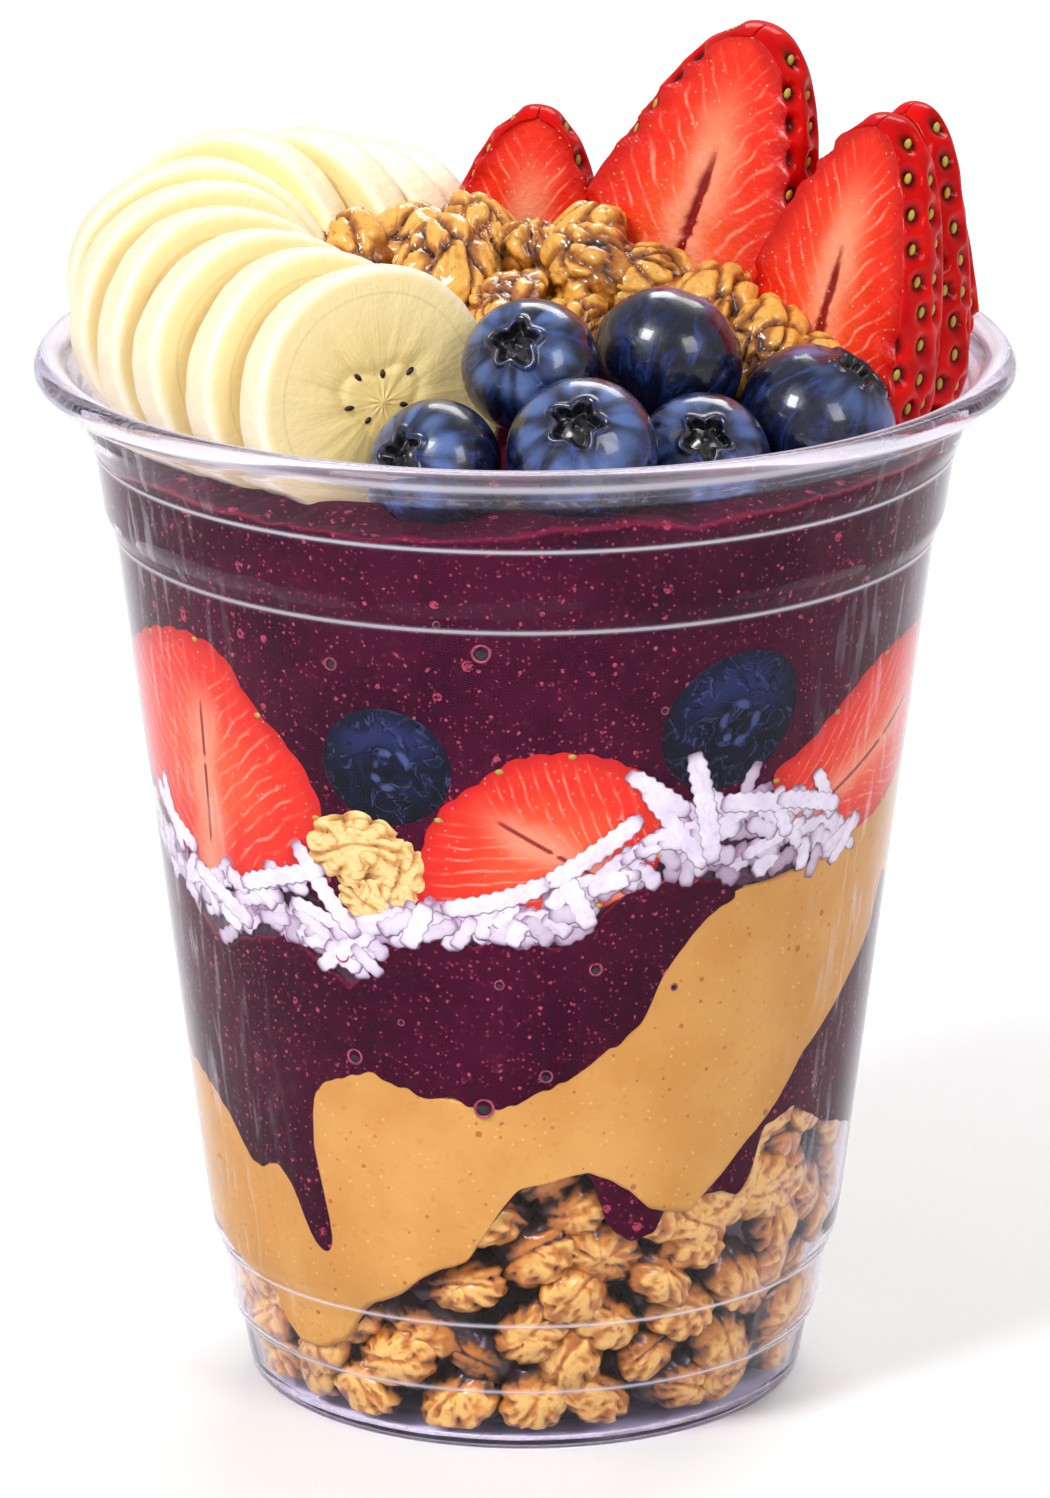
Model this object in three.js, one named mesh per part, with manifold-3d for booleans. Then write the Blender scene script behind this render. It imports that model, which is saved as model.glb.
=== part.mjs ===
// Layered acai in a clear tapered cup, topped with banana, walnuts, blueberries and strawberries.
// Millimetres. The cup stands on z = 0 with its axis on Z, and the front faces -Y.
// Angles run round the cup from the front (0 degrees) towards +X.
import * as THREE from 'three';
import Module from 'manifold-3d';

const wasm = await Module();
wasm.setup();

// Driving dimensions
const GAP = 0.3; // clearance between neighbouring pieces
const WALL_GAP = 0.35; // clearance between the food and the cup
const CUP_SIDES = 32;
const BASE_TOP = 2.2; // inner floor of the cup
const RIM_TOP = 106.8;
const FOOD_FLOOR = BASE_TOP + GAP;
const SLICE_RADIUS = 13.3;
const SLICE_THICKNESS = 5;

// Cup wall, radius and height, from the foot up the outside and down the inside
const CUP_OUTSIDE = [
  [0, 1.6], [24.2, 1.6], [25.4, 0], [27.0, 0], [28.0, 0.9], [28.9, 6.3], [29.8, 7.6], [30.8, 14.0],
  [31.7, 15.8], [32.2, 18.8], [40.9, 88.6], [42.0, 91.0], [42.9, 97.3], [43.9, 99.5],
  [44.4, 102.2], [46.4, 103.9], [48.1, 103.9], [49.0, 105.2], [48.2, 106.6], [46.9, RIM_TOP], [45.9, 106.1],
];
const CUP_INSIDE = [
  [44.4, 103.6], [43.8, 101.6], [42.4, 97.4], [41.5, 91.4], [40.4, 88.7], [31.7, 18.9], [31.0, 15.9],
  [30.2, 14.1], [29.3, 7.8], [28.4, 6.3], [27.5, 1.6], [26.4, 0.6], [25.7, 0.6], [24.5, BASE_TOP], [0, BASE_TOP],
];

// Heights of each layer's edge at the wall: [angle, height] pairs right round the cup
const WALNUT_EDGE = [
  [-180, 20], [-140, 16], [-100, 22], [-75, 17], [-60, 14], [-46, 9], [-37, 10.5], [-23, 17], [-10, 21.5],
  [-1, 29.5], [9, 31], [14, 26], [20, 23.5], [32, 26.5], [44, 29], [52, 33], [64, 31], [76, 28], [100, 24], [140, 27],
];
const LOW_ACAI_DEPTH = [
  [-180, -2], [9, -2], [12, 2], [19, 4.5], [23, 1], [26, -2], [32, -2], [41, 5], [47, 2], [54, 6], [62, 12],
  [75, 22], [90, 26], [120, 20], [150, 6], [170, -2],
];
const PEANUT_EDGE = [
  [-180, 52], [-140, 44], [-100, 38], [-74, 34.5], [-62, 34], [-53, 28.5], [-45, 26.5], [-40, 24.5], [-35, 22],
  [-33.5, 36], [-30, 40.5], [-25, 41.3], [-6, 38.4], [4, 40.3], [12, 43.2], [19, 47.3], [22, 52.2], [28.5, 57],
  [36, 59.9], [46, 59.9], [59, 61.2], [69, 63.5], [80, 67], [105, 68], [130, 60], [155, 56],
];
const MID_ACAI_EDGE = [
  [-180, 61], [-140, 60], [-81, 58.2], [-69, 56.3], [-59, 51.7], [-47, 53], [-40, 54.5], [-33, 52.3], [-29, 49.5],
  [-26, 52.4], [-20, 55.6], [4, 56], [10, 57.5], [15, 61.2], [24, 62], [34, 59], [112, 60], [130, 62.5],
];
const COCONUT_EDGE = [
  [-180, 65], [-140, 63], [-110, 65], [-79, 63.5], [-64, 58.5], [-48, 60.3], [-37, 62.4], [-30, 57.5], [-16, 59],
  [5, 61], [15, 66], [24, 69.5], [38, 70], [50, 67], [58, 61], [75, 61], [105, 64], [120, 68], [150, 65],
];
const TOP_EDGE = [
  [-180, 99.5], [-75, 97.8], [-50, 98.6], [-20, 98.4], [0, 99.4], [12, 100.1], [24, 99.3], [45, 100.5], [80, 99.4],
];

// Small tools
const rad = (degrees) => (degrees * Math.PI) / 180;
const mix = (a, b, t) => a + (b - a) * t;
const clamp = (v) => Math.min(1, Math.max(0, v));
const ease = (t) => clamp(t) * clamp(t) * (3 - 2 * clamp(t));
const valueAt = (v, angle) => (typeof v === 'function' ? v(angle) : v);
const evenAngles = (count) => Array.from({ length: count }, (_, i) => (i * 360) / count);
const wallPoint = (radius, angle, z) => [radius * Math.sin(rad(angle)), -radius * Math.cos(rad(angle)), z];

function seeded(seed) {
  let state = seed;
  return () => {
    state = (state * 1664525 + 1013904223) % 4294967296;
    return state / 4294967296;
  };
}

// Value at an angle on a closed ring of [angle, value] pairs that starts at -180
function ringValue(pairs, angle) {
  const turned = ((((angle + 180) % 360) + 360) % 360) - 180;
  const ring = [...pairs, [pairs[0][0] + 360, pairs[0][1]]];
  const i = ring.findIndex(([a]) => a > turned);
  const [a0, v0] = ring[i - 1];
  const [a1, v1] = ring[i];
  return mix(v0, v1, (turned - a0) / (a1 - a0));
}

// Closed shell swept round Z from rows of [radius, height], either of which may depend on the angle
function sweep(rows, angles) {
  const points = [];
  const faces = [];
  const ids = rows.map(([r, z]) => {
    if (r === 0) {
      points.push([0, 0, valueAt(z, 0)]);
      return angles.map(() => points.length - 1);
    }
    return angles.map((angle) => points.push(wallPoint(valueAt(r, angle), angle, valueAt(z, angle))) - 1);
  });
  for (let i = 0; i + 1 < rows.length; i += 1) {
    for (let j = 0; j < angles.length; j += 1) {
      const k = (j + 1) % angles.length;
      const [a, b, c, d] = [ids[i][j], ids[i][k], ids[i + 1][k], ids[i + 1][j]];
      // Each four-sided face is split the same way whether the rows run outward or inward
      const outward = valueAt(rows[i][0], angles[j]) <= valueAt(rows[i + 1][0], angles[j]);
      if (rows[i][0] === 0) faces.push([a, c, d]);
      else if (rows[i + 1][0] === 0) faces.push([a, b, c]);
      else if (outward) faces.push([a, b, c], [a, c, d]);
      else faces.push([a, b, d], [b, c, d]);
    }
  }
  return { points, faces };
}

// Solid of a closed shell, ready to join and cut, with each point first moved by a function
function solid({ points, faces }, move = (p) => p) {
  const vertProperties = new Float32Array(points.flatMap((p) => move(p)));
  return new wasm.Manifold(new wasm.Mesh({ numProp: 3, vertProperties, triVerts: new Uint32Array(faces.flat()) }));
}

const joined = (solids) => solids.reduce((sum, next) => sum.add(next));
const without = (body, cuts) => cuts.reduce((rest, next) => rest.subtract(next), body);

// Move that lays a piece's own x, y and z along three directions at a place
function frame(place, xDirection, yDirection, zDirection) {
  return ([x, y, z]) => [0, 1, 2].map((i) => place[i] + x * xDirection[i] + y * yDirection[i] + z * zDirection[i]);
}

// Frame whose z axis is `main` and whose y axis is as near `side` as it can be
function frameOn(place, main, side) {
  const z = new THREE.Vector3(...main).normalize();
  const x = new THREE.Vector3(...side).cross(z).normalize();
  const y = z.clone().cross(x);
  return frame(place, x.toArray(), y.toArray(), z.toArray());
}

// Cup
const cup = solid(sweep([...CUP_OUTSIDE, ...CUP_INSIDE], evenAngles(CUP_SIDES)));

// Radius of the food at the wall, by height
const foodWall = CUP_INSIDE.filter(([r, z]) => r > 27.4 && r < 45).map(([r, z]) => [r - WALL_GAP, z]).reverse();
function foodRadius(z) {
  const i = Math.max(1, foodWall.findIndex(([, height]) => height > z));
  const [r0, z0] = foodWall[i - 1];
  const [r1, z1] = foodWall[i];
  return mix(r0, r1, (z - z0) / (z1 - z0));
}

// Steps round the food, finer across the front
const foodAngles = [];
for (let angle = -84; angle < 84; angle += 6) foodAngles.push(angle);
for (let angle = 84; angle < 270; angle += 19.2) foodAngles.push(angle);

// Surfaces between the layers, each with its edge at the wall and its height at the axis
const peanutFloor = (a) => ringValue(WALNUT_EDGE, a) + Math.max(0, ringValue(LOW_ACAI_DEPTH, a));
const midTop = (a) => Math.max(ringValue(MID_ACAI_EDGE, a), ringValue(PEANUT_EDGE, a));
const SURFACES = {
  walnut: { edge: (a) => ringValue(WALNUT_EDGE, a), middle: 22 },
  peanutFloor: { edge: peanutFloor, middle: 23.5 },
  peanut: { edge: (a) => ringValue(PEANUT_EDGE, a), middle: 40 },
  mid: { edge: midTop, middle: 56 },
  coconut: { edge: (a) => Math.max(midTop(a), ringValue(COCONUT_EDGE, a)), middle: 59.5 },
  top: { edge: (a) => ringValue(TOP_EDGE, a), middle: 102 },
};
const SHARES = [0.5, 0.82, 1];

// Rows of a surface from the axis out to the wall, shifted up or down
function surfaceRows({ edge, middle }, shift) {
  const rows = SHARES.map((share) => [
    (a) => share * foodRadius(edge(a)),
    (a) => mix(middle, edge(a), ease((share - 0.2) / 0.75)) + shift,
  ]);
  return [[0, middle + shift], ...rows];
}

// Layer that is nowhere thin
const fullLayer = (low, high, wallRows = []) => solid(sweep([
  ...surfaceRows(low, GAP / 2), ...wallRows, ...surfaceRows(high, -GAP / 2).reverse(),
], foodAngles));

// Layer that runs out to nothing in places: the room between two surfaces
const roomRows = foodWall.filter(([, z]) => z > 5 && z < 89);
const room = solid(sweep([[0, FOOD_FLOOR], [27.2, FOOD_FLOOR], ...roomRows, [0, 88.7]], foodAngles));
const below = (surface, shift) => {
  const top = surfaceRows(surface, shift);
  top.push([50, top[top.length - 1][1]]);
  return solid(sweep([[0, -5], [50, -5], ...top.reverse()], foodAngles));
};
const thinLayer = (low, high) => room.intersect(below(high, -GAP / 2)).subtract(below(low, GAP / 2));

// Walnut piece: an oval lump with lobes, of a given size along its own axes
function walnutShell(size, sides, rows, phase) {
  const profile = [[0, -0.5]];
  for (let i = 1; i < rows; i += 1) {
    const turn = (Math.PI * i) / rows;
    profile.push([0.5 * Math.sin(turn), -0.5 * Math.cos(turn)]);
  }
  profile.push([0, 0.5]);
  const shell = sweep(profile, evenAngles(sides));
  shell.points = shell.points.map(([x, y, z]) => {
    const swell = 1 - 0.08 + 0.08 * Math.sin(4 * Math.atan2(y, x) + phase) * Math.cos(3 * z + phase);
    return [x * swell * size[0], y * swell * size[1], z * size[2]];
  });
  return shell;
}

// Frame at the wall: own y points to the axis, and own z leans from upright by some degrees
function wallFrame(angle, z, inset, lean) {
  const turn = rad(lean);
  const [tx, ty] = [Math.cos(rad(angle)), Math.sin(rad(angle))];
  const along = [Math.sin(turn) * tx, Math.sin(turn) * ty, Math.cos(turn)];
  const across = [Math.cos(turn) * tx, Math.cos(turn) * ty, -Math.sin(turn)];
  return frame(wallPoint(foodRadius(z) - inset, angle, z), across, [-ty, tx, 0], along);
}

// Walnut bed: pieces round the wall over a plain core
const BED_ROWS = [6.8, 14.8, 22.8, 28.6];
const BED_PIECES_A_ROW = 12;
const BED_PIECE = [12.5, 7, 9];
const BED_ROOF = 4.4; // least drop from the bed's edge to a piece's centre
const bedRandom = seeded(23);
const bedPieces = [];
BED_ROWS.forEach((rowHeight, row) => {
  for (let i = 0; i < BED_PIECES_A_ROW; i += 1) {
    const angle = ((i + 0.5 * (row % 2)) * 360) / BED_PIECES_A_ROW + 5 * bedRandom();
    const roof = Math.min(...[-8, 0, 8].map((step) => SURFACES.walnut.edge(angle + step))) - BED_ROOF;
    const z = Math.min(rowHeight + 1.5 * bedRandom(), roof);
    const lean = 90 + 60 * (bedRandom() - 0.5);
    const phase = 6 * bedRandom();
    if (z < rowHeight - 3.5 || z < 6) continue;
    const turned = [BED_PIECE[2], BED_PIECE[1], BED_PIECE[0]];
    bedPieces.push(solid(walnutShell(turned, 6, 3, phase), wallFrame(angle, z, BED_PIECE[1] / 2, lean)));
  }
});
const CORE_INSET = 3;
const coreTop = surfaceRows(SURFACES.walnut, -1.2);
const [coreEdge, coreHeight] = coreTop.pop();
coreTop.push([(a) => coreEdge(a) - CORE_INSET, coreHeight]);
const bedCore = solid(sweep([
  [0, FOOD_FLOOR], [27.2 - CORE_INSET, FOOD_FLOOR], ...coreTop.reverse(),
], foodAngles));
const walnutBed = joined([bedCore, ...bedPieces]);

// Layers above the bed
const lowAcai = thinLayer(SURFACES.walnut, SURFACES.peanutFloor);
const peanutButter = fullLayer(SURFACES.peanutFloor, SURFACES.peanut);
const midAcai = thinLayer(SURFACES.peanut, SURFACES.mid);

// Coconut strips that stand proud of their layer: start and end angle and height, and width
const STRIPS = [
  [-12.5, 59.6, 4, 62.6, 2.2], [3, 62.2, 18, 68.9, 2.3], [14.9, 73.8, 24.7, 68.9, 2.2], [26, 75.6, 28.6, 63.5, 2.6],
  [40, 71, 53, 65, 2.2], [-37, 64.6, -27.5, 56.2, 2.2], [150, 67, 166, 64, 2.2], [-122, 62, -108, 67, 2.2],
];
function strip([angle0, z0, angle1, z1, width], grow) {
  const reach = [rad(angle1 - angle0) * foodRadius(z0), z1 - z0];
  const length = Math.hypot(...reach);
  const half = (width / 2 + grow) / length;
  const points = [];
  const faces = [];
  const STEPS = 2;
  for (let i = 0; i <= STEPS; i += 1) {
    const t = mix(-grow / length, 1 + grow / length, i / STEPS);
    const angle = mix(angle0, angle1, t);
    const z = mix(z0, z1, t);
    const outer = foodRadius(z) - 0.1 + grow * 3;
    const inner = foodRadius(z) - 1.3 - grow;
    const turn = (half * -reach[1]) / rad(1) / foodRadius(z);
    const rise = half * reach[0];
    points.push(wallPoint(outer, angle - turn, z - rise), wallPoint(outer, angle + turn, z + rise));
    points.push(wallPoint(inner, angle + turn, z + rise), wallPoint(inner, angle - turn, z - rise));
  }
  const quad = (a, b, c, d) => faces.push([a, b, c], [a, c, d]);
  for (let i = 0; i < STEPS * 4; i += 4) {
    for (let k = 0; k < 4; k += 1) quad(i + k, i + 4 + k, i + 4 + ((k + 1) % 4), i + ((k + 1) % 4));
  }
  const end = STEPS * 4;
  quad(0, 1, 2, 3);
  quad(end, end + 3, end + 2, end + 1);
  return solid({ points, faces });
}
const stripCuts = STRIPS.map((item) => strip(item, GAP));
const coconut = joined([thinLayer(SURFACES.mid, SURFACES.coconut), ...STRIPS.map((item) => strip(item, 0))]);

// Outlines in their own plane: x across, z along, each point in half sizes
const OVAL = evenAngles(12).map((a) => [Math.cos(rad(a)), Math.sin(rad(a))]);
const berryRadius = (t) => 1.1 * t ** 0.45 * Math.sqrt(1 - Math.max(0, (t - 0.6) / 0.4) ** 3);
const BERRY_STEPS = [0.02, 0.1, 0.28, 0.55, 0.8, 0.95];
const BERRY = [
  [0, 1], ...BERRY_STEPS.map((t) => [-berryRadius(t), 1 - 2 * t]),
  [0, -1], ...[...BERRY_STEPS].reverse().map((t) => [berryRadius(t), 1 - 2 * t]),
];

// Plate against the wall with an outline, and rings of [share of the outline, depth] going inward
function wallPlate({ angle, z, size, lean }, outline, rings, lift, grow) {
  const points = [];
  const place = ([x, y], share, depth) => {
    const [a, b] = [x * (size[0] / 2 + grow) * share, y * (size[1] / 2 + grow) * share];
    const across = a * Math.cos(rad(lean)) + b * Math.sin(rad(lean));
    const height = z - a * Math.sin(rad(lean)) + b * Math.cos(rad(lean));
    const radius = foodRadius(height);
    return wallPoint(radius + lift - depth, angle + across / radius / rad(1), height);
  };
  rings.forEach(([share, depth]) => outline.forEach((p) => points.push(place(p, share, depth))));
  const count = outline.length;
  const front = points.push(place([0, 0], 0, 0)) - 1;
  const back = points.push(place([0, 0], 0, rings[rings.length - 1][1] + 1.5)) - 1;
  const faces = [];
  for (let k = 0; k < count; k += 1) {
    const next = (k + 1) % count;
    faces.push([front, k, next]);
    for (let i = 0; i + 1 < rings.length; i += 1) {
      const [a, b] = [i * count, (i + 1) * count];
      faces.push([a + k, b + k, b + next], [a + k, b + next, a + next]);
    }
    const last = (rings.length - 1) * count;
    faces.push([last + k, back, last + next]);
  }
  return solid({ points, faces });
}

// Fruit pressed against the wall inside the upper acai: size is width then height before leaning
const SIDE_STRAWBERRIES = [
  { angle: -54, z: 72.8, size: [29, 24], lean: 8 },
  { angle: 3, z: 66.4, size: [19, 30], lean: -118 },
  { angle: 64, z: 73.2, size: [17, 30], lean: -100 },
  { angle: 132, z: 75, size: [22, 24], lean: 15 },
  { angle: -128, z: 76.5, size: [24, 25], lean: -12 },
];
const SIDE_BLUEBERRIES = [
  { angle: -20.5, z: 74, size: [13.2, 12.4], lean: 0 },
  { angle: 31, z: 78, size: [15.8, 13.4], lean: -30 },
  { angle: -172, z: 82, size: [13.4, 13], lean: 0 },
];
const BERRY_DEPTH = 8;
const BLUEBERRY_DEPTH = 11;
const strawberryRings = (grow) => [[0.55, 0], [1, 0], [0.75, BERRY_DEPTH - 2 + grow]];
const blueberryRings = [[0.45, 0], [0.8, 1.2], [1, BLUEBERRY_DEPTH / 2], [0.72, BLUEBERRY_DEPTH - 2]];
const hollowRings = [[1, 0], [1, BLUEBERRY_DEPTH / 2 + 1], [0.78, BLUEBERRY_DEPTH + 0.4]];
const CUT_LIFT = 0.8; // how far a hollow for a wall piece passes the food's outside
const CUT_DEEPER = 1.2;

const sideHollows = SIDE_BLUEBERRIES.map((item) => wallPlate(item, OVAL, hollowRings, CUT_LIFT, GAP));
const coconutCuts = [below(SURFACES.coconut, GAP / 2), ...stripCuts];
const sideBlueberries = SIDE_BLUEBERRIES.map((item) => (
  without(wallPlate(item, OVAL, blueberryRings, 0, 0), coconutCuts)
));
const sideStrawberries = SIDE_STRAWBERRIES.map((item) => (
  without(wallPlate(item, BERRY, strawberryRings(0), 0, 0), [...coconutCuts, ...sideHollows])
));
SIDE_STRAWBERRIES.forEach((item) => {
  sideHollows.push(wallPlate(item, BERRY, strawberryRings(CUT_LIFT + CUT_DEEPER), CUT_LIFT, 1.5 * GAP));
});

// Walnuts at the wall, between a blueberry and the coconut: angle, height and size
const SIDE_WALNUTS = [[-28, 64.6, 8], [-21.8, 63.4, 7.6], [-25.2, 61.6, 6]];
const sideWalnuts = without(joined(SIDE_WALNUTS.map(([angle, z, size]) => (
  solid(walnutShell([size, size * 0.8, size * 0.9], 8, 5, size), wallFrame(angle, z, size * 0.42, 15))
))), coconutCuts);
sideHollows.push(wallPlate({ angle: -25, z: 64, size: [15.4, 10.6], lean: 10 }, OVAL, hollowRings, CUT_LIFT, 0));

// Toppings
const BLUEBERRIES = [
  { at: [0.5, -23.0, 110.7], radius: 6.7, crown: [-0.25, -0.75, 0.6] },
  { at: [13.9, -15.0, 109.2], radius: 7.5, crown: [0.3, 0.7, 0.6] },
  { at: [-8.6, -32.3, 103.1], radius: 6.6, crown: [-0.6, -0.7, 0.4] },
  { at: [5.5, -35.2, 105.4], radius: 7.3, crown: [-0.1, -0.75, 0.65] },
  { at: [17.2, -27.3, 102.5], radius: 6.6, crown: [0.05, -0.8, 0.6] },
  { at: [28.6, -17.8, 103.8], radius: 7.9, crown: [0.6, -0.1, 0.8] },
];
// Centre, then the way the cut face looks: degrees to the right of the front, and up
const SLICES = [
  [-15.0, -21.2, 106.6, 28, 12], [-20.4, -16.2, 107.0, 28, 11], [-25.6, -11.0, 107.8, 28, 10],
  [-29.4, -5.4, 108.7, 25, 9], [-31.8, 0.4, 109.8, 18, 7], [-32.4, 6.4, 110.8, 9, 5],
  [-29.4, 13.4, 111.8, -22, 4], [-22.4, 18.4, 110.8, -32, 2], [-18.0, 23.4, 109.2, -34, 0],
  [-14.2, 28.4, 107.0, -35, -2],
];
// Tip, long axis towards the tip, way the cut face looks, and length, width and depth
const STRAWBERRIES = [
  { tip: [1.6, 18.5, 126.7], axis: [0.12, 0.06, 1], face: [-0.1, -1, 0.1], size: [29, 21, 9] },
  { tip: [24.4, 9.4, 137.1], axis: [0.32, 0.03, 0.95], face: [-0.5, -0.86, 0.12], size: [38, 28, 12.5] },
  { tip: [36.4, -5.6, 131.4], axis: [0.26, 0.02, 0.96], face: [-0.66, -0.75, 0.18], size: [35, 24, 11] },
  { tip: [39.2, 5.6, 130.0], axis: [0.16, 0.08, 0.98], face: [-0.7, -0.7, 0.12], size: [33, 21, 8] },
  { tip: [40.0, 14.8, 122.4], axis: [0.1, 0.06, 0.99], face: [-0.7, -0.7, 0.1], size: [26, 18, 7] },
];
// How far the cut face lies in front of the long axis, as a share of the depth
const FACE_AHEAD = 0.24;
// Steps round a strawberry's own axis, from one edge of the cut face round the skin to the other
const SKIN_STEPS = [76, 97, 124, 152, 180, 208, 236, 263, 284];

const directionOf = (azimuth, tilt) => {
  const flat = Math.cos(rad(tilt));
  return [flat * Math.sin(rad(azimuth)), -flat * Math.cos(rad(azimuth)), Math.sin(rad(tilt))];
};

// Open mouth of the cup, which toppings may lean over but not cut into
const MOUTH_GAP = 0.45;
const mouthRows = [...foodWall.filter(([, z]) => z > 88 && z < 103).map(([r, z]) => [r - 0.1, z]),
  [44.4 - MOUTH_GAP, 103.6], [45.9 - MOUTH_GAP, 106.1], [46.2, RIM_TOP + GAP]];
const mouth = solid(sweep(
  [[0, 88.7], ...mouthRows, [60, RIM_TOP + GAP], [60, 150], [0, 150]],
  evenAngles(CUP_SIDES),
));

function banana([x, y, z, azimuth, tilt], grow) {
  const [radius, half] = [SLICE_RADIUS + grow, SLICE_THICKNESS / 2 + grow];
  const shell = sweep([[0, -half], [radius, -half], [radius, half], [0, half]], evenAngles(18));
  const body = solid(shell, frameOn([x, y, z], directionOf(azimuth, tilt), [0, 0, 1]));
  return Math.hypot(x, y) > 28.5 ? body.intersect(mouth) : body;
}

// Blueberry with the crown's hollow on top of its own z axis; a hollow for one has no crown
function blueberry({ at, radius, crown }, grow) {
  const size = radius + grow;
  const profile = [[0, -0.94]];
  const ROWS = 5;
  const SIDES = 11;
  for (let i = 1; i <= ROWS; i += 1) {
    const turn = (Math.PI * 0.86 * i) / ROWS;
    profile.push([Math.sin(turn), -0.94 * Math.cos(turn)]);
  }
  if (grow === 0) profile.push([0.3, 0.72]);
  profile.push([0, grow === 0 ? 0.7 : 0.88]);
  const shell = sweep(profile.map(([r, z]) => [r * size, z * size]), evenAngles(SIDES));
  return solid(shell, frameOn(at, crown, [0, 0, 1]));
}

// Strawberry cut in half along its length, with the cut face looking out along `face`
function strawberry({ tip, axis, face, size }, grow) {
  const [length, width, depth] = [size[0] + 2 * grow, size[1] + 2 * grow, size[2] + grow];
  const inner = BERRY_STEPS.map((t) => [berryRadius(t), length * (0.5 - t)]).reverse();
  const profile = [[0, -length / 2], ...inner, [0, length / 2]];
  const shell = sweep(profile, SKIN_STEPS);
  const ahead = FACE_AHEAD * size[2] + grow;
  shell.points = shell.points.map(([x, y, z]) => [(x * width) / 2, Math.max(y * depth, -ahead), z]);
  const along = new THREE.Vector3(...axis).normalize();
  const middle = new THREE.Vector3(...tip).addScaledVector(along, -size[0] / 2);
  const body = solid(shell, frameOn(middle.toArray(), axis, face.map((v) => -v)));
  return middle.x > 33 ? body.intersect(mouth) : body;
}

const toppings = [];
const taken = [];
function addTopping(name, look, make) {
  toppings.push([name, without(make(0), taken), look]);
  taken.push(make(GAP));
}
BLUEBERRIES.forEach((item, i) => addTopping(`blueberry_${i + 1}`, 'blueberry', (grow) => blueberry(item, grow)));
SLICES.forEach((item, i) => addTopping(`banana_slice_${i + 1}`, 'banana', (grow) => banana(item, grow)));
STRAWBERRIES.forEach((item, i) => addTopping(`strawberry_${i + 1}`, 'strawberry', (grow) => strawberry(item, grow)));

// Walnut pile: pieces over a low mound, as centre and size
const PILE = [
  [-17.0, 7.5, 115.0, 11], [-11.6, 9.8, 116.4, 10], [-8.0, 2.5, 114.6, 11], [-4.6, 9.0, 116.6, 10],
  [-1.8, -3.2, 111.8, 10], [1.6, 6.0, 115.4, 10], [6.0, 7.4, 116.6, 10], [6.8, 1.4, 114.4, 11],
  [11.4, 0.6, 114.2, 10], [5.0, -6.0, 109.6, 9], [18.4, -4.8, 111.8, 10], [23.0, -8.8, 109.4, 10],
  [28.2, -11.2, 108.2, 6],
];
const pileRandom = seeded(7);
const pilePieces = PILE.map(([x, y, z, size]) => {
  const main = [pileRandom() - 0.5, pileRandom() - 0.5, 0.4 + pileRandom()];
  const shell = walnutShell([size, size * 0.9, size * 0.8], 6, 4, pileRandom() * 6);
  return solid(shell, frameOn([x, y, z], main, [1, 0.2, 0]));
});
const moundFrame = frame([4, 2, 102.5], [0.94, -0.33, 0], [0.33, 0.94, 0], [0, 0, 1]);
const mound = solid(walnutShell([48, 17, 24], 10, 4, 1), moundFrame);
const walnutPile = without(joined([mound, ...pilePieces]), [below(SURFACES.top, GAP / 2), ...taken]);

// Upper acai, hollowed for everything pressed into it
const ledgeRows = foodWall.filter(([, z]) => z > 88 && z < 97.5);
const upperAcai = without(
  fullLayer(SURFACES.coconut, SURFACES.top, ledgeRows),
  [...taken, ...sideHollows, ...stripCuts],
);

// Materials and named meshes
const paint = (color, roughness) => new THREE.MeshStandardMaterial({ color, roughness, metalness: 0 });
const clear = { transparent: true, opacity: 0.25 };
const LOOKS = {
  cup: new THREE.MeshStandardMaterial({ color: '#eef0f6', roughness: 0.08, metalness: 0, ...clear }),
  acai: paint('#4b0d2c', 0.45),
  peanut: paint('#d39a57', 0.5),
  walnut: paint('#b67c3a', 0.6),
  coconut: paint('#f3eef4', 0.6),
  banana: paint('#f4e3ae', 0.45),
  blueberry: paint('#28345c', 0.35),
  strawberry: paint('#d22418', 0.3),
};

const group = new THREE.Group();
function addMesh(name, body, look) {
  const mesh = body.getMesh();
  const geometry = new THREE.BufferGeometry();
  geometry.setAttribute('position', new THREE.BufferAttribute(new Float32Array(mesh.vertProperties), mesh.numProp));
  geometry.setIndex(new THREE.BufferAttribute(new Uint32Array(mesh.triVerts), 1));
  geometry.computeVertexNormals();
  const part = new THREE.Mesh(geometry, LOOKS[look]);
  part.name = name;
  group.add(part);
}

addMesh('cup', cup, 'cup');
addMesh('walnut_bed', walnutBed, 'walnut');
addMesh('low_acai', lowAcai, 'acai');
addMesh('peanut_butter', peanutButter, 'peanut');
addMesh('mid_acai', midAcai, 'acai');
addMesh('coconut', coconut, 'coconut');
addMesh('upper_acai', upperAcai, 'acai');
addMesh('side_walnuts', sideWalnuts, 'walnut');
sideStrawberries.forEach((body, i) => addMesh(`side_strawberry_${i + 1}`, body, 'strawberry'));
sideBlueberries.forEach((body, i) => addMesh(`side_blueberry_${i + 1}`, body, 'blueberry'));
toppings.forEach(([name, body, look]) => addMesh(name, body, look));
addMesh('walnut_pile', walnutPile, 'walnut');

export default group;
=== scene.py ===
import math

import bpy
import numpy as np
from mathutils import Matrix


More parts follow.
